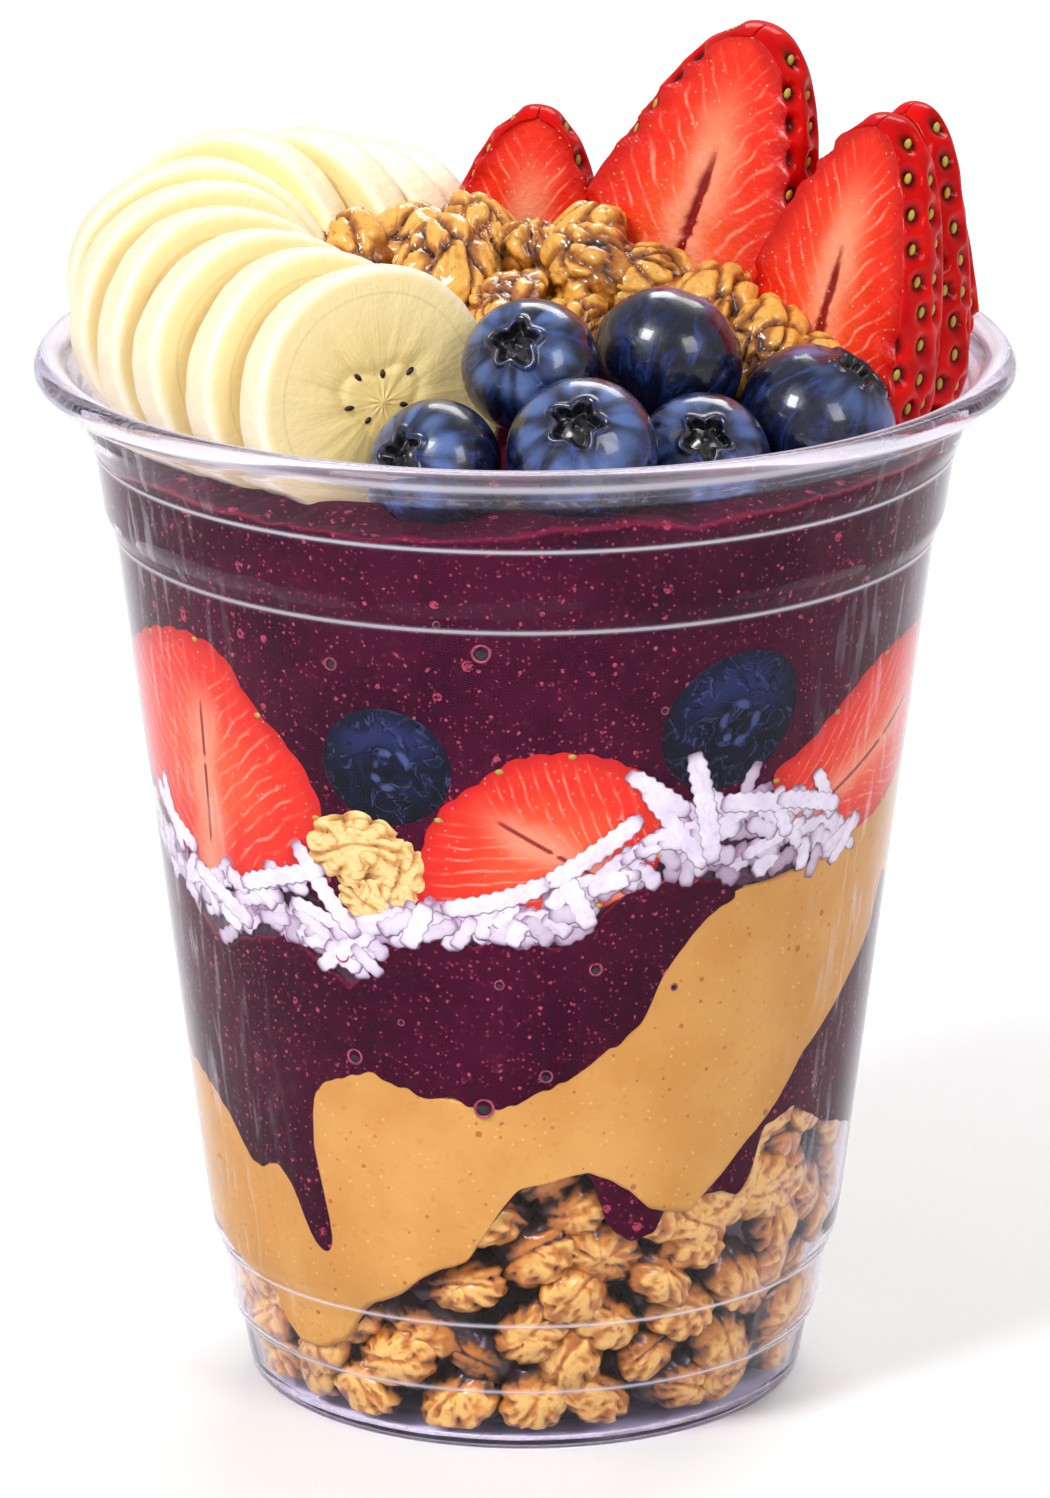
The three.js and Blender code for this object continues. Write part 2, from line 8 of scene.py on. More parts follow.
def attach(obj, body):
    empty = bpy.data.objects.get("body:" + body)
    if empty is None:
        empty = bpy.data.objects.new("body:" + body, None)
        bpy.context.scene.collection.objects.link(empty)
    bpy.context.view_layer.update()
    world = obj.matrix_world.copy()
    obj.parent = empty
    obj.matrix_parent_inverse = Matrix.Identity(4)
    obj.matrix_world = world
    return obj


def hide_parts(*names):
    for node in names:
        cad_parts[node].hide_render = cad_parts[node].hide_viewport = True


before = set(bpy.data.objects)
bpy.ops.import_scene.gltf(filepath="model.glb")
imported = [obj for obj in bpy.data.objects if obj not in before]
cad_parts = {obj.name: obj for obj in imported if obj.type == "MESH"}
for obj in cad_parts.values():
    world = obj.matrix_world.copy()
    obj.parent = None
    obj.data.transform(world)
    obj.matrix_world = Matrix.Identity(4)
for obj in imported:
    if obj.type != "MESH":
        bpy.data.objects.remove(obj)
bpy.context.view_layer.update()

# Layered acai in a clear tapered cup. Shapes are worked out in millimetres and made in metres.
# The cup's axis is Z and the front faces -Y. Angles round the cup are in degrees, from the front
# towards +X.
MM = 0.001

# ---- Camera, lamps, world and floor: metres, degrees and watts ----
CAMERA_PLACE = (0.0, -1.0, 0.36674)
CAMERA_PITCH = 73.205
CAMERA_LENS = 249.8
SENSOR_WIDTH = 36
CLIP_START = 0.05
# Name, place, point that it faces, width and height, power
LAMPS = [
    ("key", (-0.45, -0.5, 0.75), (0, 0, 0.08), (0.24, 0.28), 5.8),
    ("fill", (0.5, -0.62, 0.6), (0, 0, 0.08), (0.3, 0.4), 2.3),
    ("back", (0.15, 0.6, 0.7), (0, 0, 0.1), (0.6, 0.3), 4.0),
]
WORLD_COLOUR = (1.0, 0.99, 0.985, 1)
WORLD_STRENGTH = 0.46
FLOOR_COLOUR = (0.96, 0.96, 0.965, 1)
FLOOR_SPAN = 4.0

# ---- Cup profile: radius and height, from the foot up the outside and down the inside ----
CUP_OUTSIDE = [
    (24.2, 1.6), (25.4, 0.0), (27.0, 0.0), (28.0, 0.9), (28.9, 6.3), (29.8, 7.6), (30.8, 14.0),
    (31.7, 15.8), (32.2, 18.8), (40.9, 88.6), (42.0, 91.0), (42.9, 97.3), (43.9, 99.5),
    (44.4, 102.2), (46.4, 103.9), (48.1, 103.9), (49.0, 105.2), (48.2, 106.6), (46.9, 106.8),
    (45.9, 106.1),
]
CUP_INSIDE = [
    (44.4, 103.6), (43.8, 101.6), (42.4, 97.4), (41.5, 91.4), (40.4, 88.7), (31.7, 18.9),
    (31.0, 15.9), (30.2, 14.1), (29.3, 7.8), (28.4, 6.3), (27.5, 1.9), (26.4, 0.9), (25.7, 0.9),
    (24.5, 2.2),
]
FLOOR_OUT = 1.6
FLOOR_IN = 2.2
CUP_SEGMENTS = 240
CORNER_CUT = 0.55
RIDGES = [7.0, 14.5, 88.9, 97.5]
RIDGE_STEPS = [-0.6, -0.4, -0.25, -0.1, 0.1, 0.25, 0.4, 0.6]
RIDGE_RISE = 0.12
# Points on the lip's profile where painted highlight lines run round
LIP_HIGHLIGHTS = [(49.0, 105.2), (47.0, 106.8), (45.9, 106.1), (46.4, 103.9)]

# ---- Layers at the wall: angle and height pairs right round ----
BED_AND_PEANUT = [
    (-180, 20), (-140, 16), (-100, 20), (-75, 17), (-62, 14.6), (-55, 13.6), (-53, 10.5),
    (-49, 9), (-43, 9), (-37, 10.6), (-31, 14.7), (-23, 17.3), (-15, 20.4), (-10, 21.5),
    (-7, 24.5), (-4, 27.3), (-1, 29.5), (6, 30.7),
]
BED_TOP = BED_AND_PEANUT + [
    (11, 31), (13, 28.6), (14, 25.9), (16.5, 23.9), (19, 23.4), (23.5, 24.2), (25, 26.4),
    (30, 27.2), (36, 27.2), (40, 26.4), (43, 28.9), (44.4, 33.2), (52, 34.1), (63, 30.8),
    (72, 28.8), (100, 24), (140, 27),
]
PEANUT_LOW = BED_AND_PEANUT + [
    (11, 31.2), (14, 30.4), (17.5, 28.9), (22, 26.4), (30, 25.7), (36, 28.9), (41, 32), (47, 35),
    (53, 39.8), (62, 43.7), (73, 49.1), (77, 54.7), (95, 50), (120, 45), (150, 32),
]
PEANUT_TOP = [
    (-180, 52), (-140, 44), (-100, 38), (-74, 34.5), (-66, 33.6), (-62, 31.8), (-58, 29.4),
    (-55.5, 28.0), (-52.5, 27.3), (-50, 27.9), (-48, 28.5), (-46, 27.6), (-44.6, 25.8),
    (-44.0, 23), (-43.4, 21), (-42.4, 20.2), (-41.2, 20.0), (-40.2, 20.6), (-39.4, 22.6),
    (-39.0, 25.5), (-38.8, 30), (-38.5, 34), (-37.5, 37.5), (-35, 39.2), (-30, 40.6),
    (-26, 41.3), (-18, 39.2), (-11, 39), (-4, 38.1), (4, 40.3), (12, 43.2), (19, 47.1),
    (22, 52.2), (28.5, 57), (35.5, 59.9), (46, 59.9), (59, 61.2), (69, 63.5), (80, 66.5),
    (105, 67), (130, 60), (155, 56),
]
MID_TOP = [
    (-180, 61), (-140, 60), (-81, 58.2), (-69, 56.3), (-59, 51.7), (-53, 51.9), (-47.5, 53),
    (-40, 54.5), (-33, 52.3), (-29, 49.5), (-26, 52.4), (-20, 55.6), (-15, 57), (-9, 56.2),
    (-1, 56.8), (4, 55.7), (9, 57.2), (15, 61.2), (24.5, 62.1), (31, 61.3), (35.5, 59.9),
    (42, 57), (110, 57), (130, 61.5),
]
COCONUT_TOP = [
    (-180, 65), (-140, 63), (-110, 65), (-79, 63.8), (-64, 57.9), (-48, 60.3), (-37, 62),
    (-30, 57.5), (-16, 59), (-4, 60), (5, 62), (14, 66), (24, 70), (38, 70.1), (50, 67.1),
    (57, 62.6), (63, 59), (100, 59), (120, 67), (150, 65),
]
ACAI_TOP = [
    (-180, 99.5), (-80, 97.8), (-71, 97.8), (-56, 99), (-47, 98.3), (-38, 98.6), (-30, 98.4),
    (-19, 98.2), (-10, 98.5), (0, 99.4), (10, 99.9), (15, 100.2), (23, 99.3), (32, 100),
    (38, 100.2), (49, 100.7), (67, 100.6), (84, 99.1), (140, 99.6),
]
# Each edge's points, seed, roughness, length of its waves and how far its crests are widened
EDGE_RULES = {
    "bed_top": (BED_TOP, 11, 0.25, 2.2, 0.0),
    "peanut_low": (PEANUT_LOW, 12, 0.22, 2.4, 0.0),
    "peanut_top": (PEANUT_TOP, 13, 0.42, 1.8, 0.0),
    "peanut_behind": (PEANUT_TOP, 14, 0.0, 1.4, 5.0),
    "mid_top": (MID_TOP, 15, 0.55, 1.5, 0.0),
    "coconut_top": (COCONUT_TOP, 16, 0.3, 1.6, 0.0),
    "acai_top": (ACAI_TOP, 17, 0.28, 2.4, 0.0),
}
EDGE_SOFTENING = 0.7
TABLE_STEP = 0.25
TABLE_ANGLES = np.arange(-180, 180, TABLE_STEP)
LAYER_ANGLES = np.concatenate([np.arange(-100, 100, 0.5), np.arange(100, 260, 1.6)])
# How far each layer's side reaches past the wall's inner face, so that no air gap shows
REACH = {"low_acai": 0.06, "upper_acai": 0.08, "peanut": 0.13, "mid_acai": 0.18, "plate": 0.14}
# Angle, height and radius of each air bubble
BUBBLES = [
    (-6, 86.6, 0.85), (-28, 84.2, 0.6), (-4, 51.7, 0.45), (11, 53.2, 0.6), (3.4, 41.9, 0.6),
    (-6.7, 38.4, 0.9), (-28.6, 42.6, 0.75), (-29.5, 53.4, 0.7), (-12, 89.5, 0.35),
    (20, 80, 0.35), (-20, 47, 0.3), (24, 50.5, 0.35), (150, 80, 0.8), (-120, 70, 0.7),
    (-150, 50, 0.6), (100, 84, 0.5),
]
# Long coconut strips: angle and height of both ends, width, and how far out they lie
STRIPS = [
    (-12.5, 59.2, 4, 62.4, 2.3, 0.42), (3, 62.2, 17.5, 68.9, 2.3, 0.42),
    (14.9, 73.8, 24.7, 68.9, 2.1, 0.39), (25, 75.2, 29.4, 63.2, 2.6, 0.46),
    (17.3, 72.1, 27.9, 62.9, 2.0, 0.38), (29.8, 69.5, 42, 68.2, 2.4, 0.42),
    (40, 68.8, 54.5, 66.1, 2.2, 0.43), (39.9, 69.9, 42.8, 64.3, 2.0, 0.39),
    (48, 70.6, 53, 65, 2.0, 0.38), (-36.9, 64.6, -26.8, 55.5, 2.3, 0.4),
    (-48.8, 58.6, -31.5, 62.3, 2.2, 0.42), (-61.7, 58.6, -47.2, 54.4, 2.4, 0.4),
    (-75.1, 64.5, -60.7, 59.9, 2.4, 0.4), (-71, 66.5, -66, 58.8, 2.0, 0.38),
    (-14.8, 59.9, -18.3, 55.2, 2.4, 0.4), (5.3, 63.7, 10.1, 57.7, 2.4, 0.39),
    (150, 67, 166, 64, 2.2, 0.4), (-122, 62, -108, 67, 2.2, 0.4), (176, 62, 190, 67, 2.2, 0.4),
    (-100, 64.5, -88, 62, 2.2, 0.4),
]
STRIP_WIDTH_SHARE = 0.86

# ---- Walnuts ----
# Kernels at the front of the bed: angle, height, size and roll
BED_FRONT = [(38.5, 25.6, 9.4, 20), (42.5, 29.0, 9.0, 70), (33.0, 24.0, 9.0, -40)]
# Pressed cluster: angle, height, size, roll, reach past the wall's inner face and seed
CLUSTER = [
    (-26.2, 65.0, 11.0, 10, 0.18, 71), (-19.8, 62.6, 8.0, 70, 0.08, 72),
    (-23.8, 59.4, 7.6, -25, 0.11, 73),
]
# Pile on top: centre and size of each piece that shows most
PILE = [
    (-17.0, 7.5, 115.0, 11), (-11.6, 9.8, 116.4, 10), (-8.0, 2.5, 114.6, 11),
    (-4.6, 9.0, 116.6, 10), (-1.8, -3.2, 111.8, 10), (1.6, 6.0, 115.4, 10),
    (6.0, 7.4, 116.6, 10), (6.8, 1.4, 114.4, 11), (11.4, 0.6, 114.2, 10),
    (5.0, -6.0, 109.6, 9), (18.4, -4.8, 111.8, 10), (23.0, -8.8, 109.4, 10),
    (28.2, -11.2, 108.2, 7),
]
PILE_FILL = 40
PILE_LENGTH = 44

# ---- Fruit on top ----
# Centre, radius and the way that the crown looks
BLUEBERRIES = [
    ((0.5, -23.0, 110.7), 6.7, (-0.25, -0.75, 0.6)),
    ((13.9, -15.0, 109.2), 7.5, (0.3, 0.7, 0.6)),
    ((-8.6, -32.3, 103.1), 6.6, (-0.6, -0.7, 0.4)),
    ((5.5, -35.2, 105.4), 7.3, (-0.1, -0.75, 0.65)),
    ((17.2, -27.3, 102.5), 6.6, (0.05, -0.8, 0.6)),
    ((28.6, -17.8, 103.8), 7.9, (0.6, -0.1, 0.8)),
]
# Centre, then the way that the cut face looks: degrees to the right of the front, and up
SLICES = [
    (-15.0, -21.2, 106.6, 28, 12), (-20.4, -16.2, 107.0, 28, 11), (-25.6, -11.0, 107.8, 28, 10),
    (-29.4, -5.4, 108.7, 25, 9), (-31.8, 0.4, 109.8, 18, 7), (-32.4, 6.4, 110.8, 9, 5),
    (-29.4, 13.4, 111.8, -22, 4), (-22.4, 18.4, 110.8, -32, 2), (-18.0, 23.4, 109.2, -34, 0),
    (-14.2, 28.4, 107.0, -35, -2),
]
SLICE_RADIUS = 13.3
SLICE_THICKNESS = 5.2
SLICE_COLS = 128
PIPS = 8
# Tip, long axis towards the tip, way that the cut face looks, length, width and depth, and the
# slit in the face: its start and end along the length, lean and depth
STRAWBERRIES = [
    ((1.6, 18.5, 126.7), (0.12, 0.06, 1), (-0.1, -1, 0.1), (29, 21, 9), None),
    ((24.4, 9.4, 137.1), (0.32, 0.03, 0.95), (-0.5, -0.86, 0.12), (38, 28, 12.5),
     (0.3, 0.85, -0.02, 0.9)),
    ((36.4, -5.6, 131.4), (0.26, 0.02, 0.96), (-0.66, -0.75, 0.18), (35, 24, 11),
     (0.35, 0.8, 0.0, 0.25)),
    ((39.2, 5.6, 130.0), (0.16, 0.08, 0.98), (-0.7, -0.7, 0.12), (33, 21, 8), None),
    ((40.0, 14.8, 122.4), (0.1, 0.06, 0.99), (-0.7, -0.7, 0.1), (26, 18, 7), None),
]
FACE_AHEAD = 0.24
BERRY_ROWS = 84
SKIN_COLS = 84
FACE_COLS = 44

# ---- Fruit pressed against the wall ----
# Outline by angle and height, centre, lean, half width and length
PRESSED_HALVES = [
    ([(-82, 77), (-74, 80.5), (-66, 82.7), (-56, 83.9), (-48, 82.8), (-42.5, 78.4),
      (-35.5, 74.1), (-31.5, 69.3), (-33, 63.9), (-39.5, 59.9), (-48.5, 58.4), (-60, 58.4),
      (-72, 61.5), (-81, 66)], (-55, 70.5), 4, 13.5, 26),
    ([(-16, 59), (-16.3, 64.3), (-13, 69.7), (-7, 73.1), (-1, 75.8), (8, 76.2), (16, 74.3),
      (21, 70.8), (22, 66), (16, 61), (4, 58.5), (-8, 57.5)], (4.5, 65.5), -58, 10, 28),
    ([(38.5, 70.6), (45.5, 73.8), (52, 76.8), (62, 80.3), (76, 81), (86, 79.5), (92, 74),
      (86, 68), (76, 64.5), (67.5, 62.6), (57, 62.2), (46, 65)], (66, 71), 68, 9, 32),
    ([(114, 72), (120, 82), (131, 86.5), (143, 83), (149, 75), (142, 67.5), (128, 65.8),
      (117, 67)], (131, 75), 15, 11, 22),
    ([(-148, 76), (-141, 86), (-128, 88.5), (-116, 83), (-110, 74), (-117, 66), (-131, 64.5),
      (-143, 68)], (-129, 76), -12, 11, 24),
]
PRESSED_HALF_DEPTH = 6.5
# Angle and height of the centre, half width and half height, and lean
PRESSED_BERRIES = [
    ((-20.5, 74.0), (6.8, 6.2), 0), ((31.0, 78.0), (8.1, 6.9), -30),
    ((-172.0, 82.0), (6.8, 6.5), 0),
]
PRESSED_BERRY_DEPTH = 9.0
PLATE_POINTS = 150


# ---- Numbers ----
def hashed(ix, iy, iz, seed):
    n = (ix * 374761393 + iy * 668265263 + iz * 1440662683 + seed * 974634777) & 0xFFFFFFFF
    n = ((n ^ (n >> 13)) * 1274126177) & 0xFFFFFFFF
    return ((n ^ (n >> 16)) & 0xFFFF) / 65535.0


def noise(points, seed=0):
    """Smooth value noise from -1 to 1 at each point."""
    cell = np.floor(points).astype(np.int64)
    part = points - cell
    u = part * part * (3 - 2 * part)
    total = 0
    for dx in (0, 1):
        wx = u[..., 0] if dx else 1 - u[..., 0]
        for dy in (0, 1):
            wy = u[..., 1] if dy else 1 - u[..., 1]
            for dz in (0, 1):
                wz = u[..., 2] if dz else 1 - u[..., 2]
                corner = hashed(cell[..., 0] + dx, cell[..., 1] + dy, cell[..., 2] + dz, seed)
                total = total + wx * wy * wz * corner
    return total * 2 - 1


def ease(t):
    t = np.clip(t, 0, 1)
    return t * t * (3 - 2 * t)


def bell(v, width):
    return np.exp(-((v / width) ** 2))


def unit(v):
    v = np.asarray(v, float)
    return v / np.linalg.norm(v)


def front_turn(angle):
    """Degrees from -180 to 180 for any angle."""
    return (angle + 180.0) % 360.0 - 180.0


def swing(a, b, degrees):
    """The pair a and b, each a number or an array, turned in their plane."""
    c, s = math.cos(math.radians(degrees)), math.sin(math.radians(degrees))
    return a * c - b * s, a * s + b * c


def axes_for(main, side):
    """Rows x, y, z of a frame whose z is main and whose y is as near side as it can be."""
    z = unit(main)
    x = unit(np.cross(side, z))
    return np.array([x, np.cross(z, x), z])


def tube(around, radius, along):
    """Points at turns in radians round a z axis."""
    x, y = np.cos(around) * radius, np.sin(around) * radius
    return np.stack(np.broadcast_arrays(x, y, along), -1)


def ball(polar, cols):
    """Column of polar angles, row of turns, and the points of a unit ball at them."""
    polar = polar[:, None]
    around = (np.arange(cols) * 2 * np.pi / cols)[None, :]
    return polar, around, tube(around, np.sin(polar), np.cos(polar))


def with_tone(points, tone):
    return np.concatenate([points, tone[..., None]], -1)


# ---- Places on the wall ----
# The wall's inner face from the floor up, without the last points, round the foot's hollow
INSIDE_R, INSIDE_Z = np.array(CUP_INSIDE[:-3])[::-1].T


def wall_in(z):
    return np.interp(z, INSIDE_Z, INSIDE_R)


def wall_point(radius, angle, z):
    a = np.radians(angle)
    return np.stack([radius * np.sin(a), -radius * np.cos(a), z + 0 * a], -1)


def on_wall(angle, z, out):
    """Points some way out from the wall's inner face."""
    return wall_point(wall_in(z) + out, angle, z)


def wall_axes(angle, roll=0.0, tilt_side=0.0, tilt_up=0.0):
    """Frame at the wall whose z looks outward, rolled in the wall's plane and tilted a little."""
    outward = wall_point(1.0, angle + tilt_side, 0.0)
    outward = unit(outward + np.array([0, 0, math.tan(math.radians(tilt_up))]))
    side = np.array([math.cos(math.radians(angle)), math.sin(math.radians(angle)), 0.0])
    x = unit(side - outward * side.dot(outward))
    return np.array([*swing(x, np.cross(outward, x), -roll), outward])


def wall_offset(at, centre):
    """Millimetres across and up the wall from a centre, for angle and height pairs."""
    return np.radians(at[:, 0] - centre[0]) * wall_in(at[:, 1]), at[:, 1] - centre[1]


def mouth(z):
    """The radius that food keeps within, inside the cup and where it leans over the rim."""
    low = wall_in(z) + 0.12
    high = np.interp(z, [103.6, 106.1, 107.1, 108.5], [44.3, 45.7, 46.1, 70])
    return np.where(z < 103.4, low, high)


def spread(values, reach, rule):
    """Running mean or highest value over a stretch of the ring of values."""
    steps = int(round(reach / TABLE_STEP))
    return rule(np.stack([np.roll(values, k) for k in range(-steps, steps + 1)]), axis=0)


def edge_table(pairs, seed, rough, wave, raised):
    """Heights right round the cup, softened a little and made uneven."""
    ring = [(a + turn, v) for turn in (-360, 0, 360) for a, v in pairs]
    values = np.interp(TABLE_ANGLES, [a for a, _ in ring], [v for _, v in ring])
    if raised:
        values = spread(values, raised, np.max)
    values = spread(values, EDGE_SOFTENING, np.mean)
    around = wall_point(33.0, TABLE_ANGLES, 0.0) / wave
    return values + rough * noise(around, seed) + 0.5 * rough * noise(around * 2.3, seed + 1)


EDGES = {name: edge_table(*rule) for name, rule in EDGE_RULES.items()}


def edge(name, angle=LAYER_ANGLES):
    """Height of a layer's edge at an angle."""
    values = EDGES[name]
    angles = np.append(TABLE_ANGLES, 180.0)
    return np.interp(front_turn(angle), angles, np.append(values, values[0]))


# ---- Meshes ----
def grid_quads(rows, cols):
    r, c = np.meshgrid(np.arange(rows - 1), np.arange(cols), indexing="ij")
    n = (c + 1) % cols
    corners = [r * cols + c, r * cols + n, (r + 1) * cols + n, (r + 1) * cols + c]
    return np.stack(corners, -1).reshape(-1, 4)


def ring_stack(rings, start, end, values=None):
    """Closed body of rings of points between two end points, with one row of values a point."""
    rows, cols = rings.shape[:2]
    verts = np.concatenate([rings.reshape(-1, 3), [start], [end]])
    first, last, top = rows * cols, rows * cols + 1, (rows - 1) * cols
    c = np.arange(cols)
    n = (c + 1) % cols
    q = grid_quads(rows, cols)
    t = np.concatenate([np.stack([np.full(cols, first), n, c], -1),
                        np.stack([np.full(cols, last), top + c, top + n], -1)])
    v = verts - verts.mean(0)
    fans = [(t, 0, 1, 2), (q, 0, 1, 2), (q, 0, 2, 3)]
    volume = sum(np.einsum("ij,ij->i", v[f[:, i]], np.cross(v[f[:, j]], v[f[:, k]])).sum()
                 for f, i, j, k in fans)
    if volume < 0:
        q, t = q[:, ::-1], t[:, ::-1]
    made = {"verts": verts, "quads": q, "tris": t}
    if values is not None:
        ends = np.stack([values[0].mean(0), values[-1].mean(0)])
        made["values"] = np.concatenate([values.reshape(rows * cols, -1), ends])
    return made


def placed(shape, centre, axes):
    """Shape with its own axes laid along the rows of axes, at a centre."""
    return {**shape, "verts": shape["verts"] @ axes + np.asarray(centre, float)}


def drawn_in(shape, limit):
    """Shape whose points keep within a radius that a function gives for their height."""
    v = shape["verts"].copy()
    r = np.maximum(np.hypot(v[:, 0], v[:, 1]), 1e-6)
    v[:, :2] *= np.minimum(1, limit(v[:, 2]) / r)[:, None]
    return {**shape, "verts": v}


def shaded(shape, shares):
    """Shape with its tone taken down by a share for each point."""
    values = shape["values"].copy()
    values[:, 3] *= shares
    return {**shape, "values": values}


def pebble(a, b, c):
    """Plain small oval."""
    points = ball(np.linspace(0.35, np.pi - 0.35, 6), 10)[2]
    return ring_stack(points * np.array([a, b, c]), (0, 0, c), (0, 0, -c), np.zeros((6, 10, 4)))


def piece(name, shapes, materials, nodes, looks=None):
    """One object from many closed shapes. looks gives each shape's faces a material."""
    looks = looks or [0] * len(shapes)
    bases = np.cumsum([0] + [len(s["verts"]) for s in shapes])
    verts = np.concatenate([s["verts"] for s in shapes]) * MM
    quads = np.concatenate([s["quads"] + base for s, base in zip(shapes, bases)])
    tris = np.concatenate([s["tris"] + base for s, base in zip(shapes, bases)])
    face_looks = np.concatenate([
        s.get(f"{kind}_looks", np.full(len(s[f"{kind}s"]), look))
        for kind in ("quad", "tri") for s, look in zip(shapes, looks)])
    starts = np.concatenate([np.arange(len(quads)) * 4, quads.size + np.arange(len(tris)) * 3])
    corners = np.concatenate([quads.ravel(), tris.ravel()]).astype(np.int32)
    mesh = bpy.data.meshes.new(name)
    mesh.vertices.add(len(verts))
    mesh.vertices.foreach_set("co", verts.astype(np.float32).ravel())
    mesh.loops.add(len(corners))
    mesh.loops.foreach_set("vertex_index", corners)
    mesh.polygons.add(len(starts))
    mesh.polygons.foreach_set("loop_start", starts.astype(np.int32))
    mesh.polygons.foreach_set("material_index", face_looks.astype(np.int32))
    mesh.polygons.foreach_set("use_smooth", np.ones(len(starts), bool))
    if "values" in shapes[0]:
        values = np.concatenate([s["values"] for s in shapes]).astype(np.float32)
        local = mesh.attributes.new("local", "FLOAT_VECTOR", "POINT")
        local.data.foreach_set("vector", values[:, :3].ravel())
        tone = mesh.attributes.new("tone", "FLOAT", "POINT")
        tone.data.foreach_set("value", values[:, 3].ravel())
    mesh.update(calc_edges=True)
    for m in materials:
        mesh.materials.append(m)
    made = bpy.data.objects.new(name, mesh)
    bpy.context.scene.collection.objects.link(made)
    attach(made, "root")
    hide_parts(*nodes)


# ---- Materials ----
def rgb(code):
    """Linear colour from a hex code."""
    parts = [int(code[i:i + 2], 16) / 255 for i in (1, 3, 5)]
    linear = (c / 12.92 if c <= 0.04045 else ((c + 0.055) / 1.055) ** 2.4 for c in parts)
    return (*linear, 1.0)


class Look:
    """A material under construction: its colour is laid on in coats."""

    def __init__(self, name, colour, **settings):
        self.material = bpy.data.materials.new(name)
        self.material.use_nodes = True
        self.tree = self.material.node_tree
        self.shader = next(n for n in self.tree.nodes if n.type == "BSDF_PRINCIPLED")
        self.base = rgb(colour)
        for key, value in {"Base Color": self.base, **settings}.items():
            self.shader.inputs[key.replace("_", " ")].default_value = value

    def put(self, value, socket):
        if isinstance(value, bpy.types.NodeSocket):
            self.tree.links.new(value, socket)
        else:
            socket.default_value = value

    def node(self, kind, inputs, **properties):
        made = self.tree.nodes.new(kind)
        for key, value in properties.items():
            setattr(made, key, value)
        for key, value in inputs.items():
            self.put(value, made.inputs[key])
        return made

    def place(self, scale=(1000, 1000, 1000)):
        """Position in millimetres, times a stretch."""
        where = self.node("ShaderNodeTexCoord", {}).outputs["Object"]
        return self.node("ShaderNodeMapping", {"Vector": where, "Scale": scale}).outputs["Vector"]

    def local(self):
        return self.node("ShaderNodeAttribute", {}, attribute_name="local").outputs["Vector"]

    def tone(self):
        return self.node("ShaderNodeAttribute", {}, attribute_name="tone").outputs["Fac"]

    def split(self, vector):
        return self.node("ShaderNodeSeparateXYZ", {"Vector": vector}).outputs[:3]

    def noise(self, vector, scale, detail=2.0, roughness=0.5, distortion=0.0):
        return self.node("ShaderNodeTexNoise", {
            "Vector": vector, "Scale": scale, "Detail": detail, "Roughness": roughness,
            "Distortion": distortion,
        }).outputs["Fac"]

    def cells(self, vector, scale):
        """Distance to the nearest of scattered points, and three random shares of that point."""
        cell = self.node("ShaderNodeTexVoronoi", {"Vector": vector, "Scale": scale}).outputs
        return cell["Distance"], self.split(cell["Color"])

    def math(self, operation, a, b=0.0):
        return self.node("ShaderNodeMath", {0: a, 1: b}, operation=operation).outputs[0]

    def times(self, product, *factors):
        for factor in factors:
            product = self.math("MULTIPLY", product, factor)
        return product

    def off(self, value, middle):
        """How far a value is from a middle, either way."""
        return self.math("ABSOLUTE", self.math("SUBTRACT", value, middle))

    def sway(self, amount, *noise):
        """Noise from minus to plus half of an amount."""
        return self.times(self.math("SUBTRACT", self.noise(*noise), 0.5), amount)

    def step(self, value, low, high, to_low=0.0, to_high=1.0):
        """Smooth step of a value from low to high, onto a new range."""
        return self.node("ShaderNodeMapRange", {
            "Value": value, "From Min": low, "From Max": high, "To Min": to_low, "To Max": to_high,
        }, interpolation_type="SMOOTHSTEP").outputs["Result"]

    def mix(self, share, a, b):
        # Inputs 6 and 7 and output 2 are the node's colours
        return self.node("ShaderNodeMix", {0: share, 6: a, 7: b}, data_type="RGBA").outputs[2]

    def lay(self, colour, value, *steps):
        """Lays a colour over the rest, by a share or by a smooth step of a value."""
        share = self.step(value, *steps) if steps else value
        self.base = self.mix(share, self.base, rgb(colour) if isinstance(colour, str) else colour)

    def bump(self, height, strength, distance, **under):
        made = self.node("ShaderNodeBump", {
            "Height": height, "Strength": strength, "Distance": distance * MM, **under,
        }).outputs["Normal"]
        self.put(made, self.shader.inputs["Normal"])
        return made

    def done(self):
        self.put(self.base, self.shader.inputs["Base Color"])
        return self.material


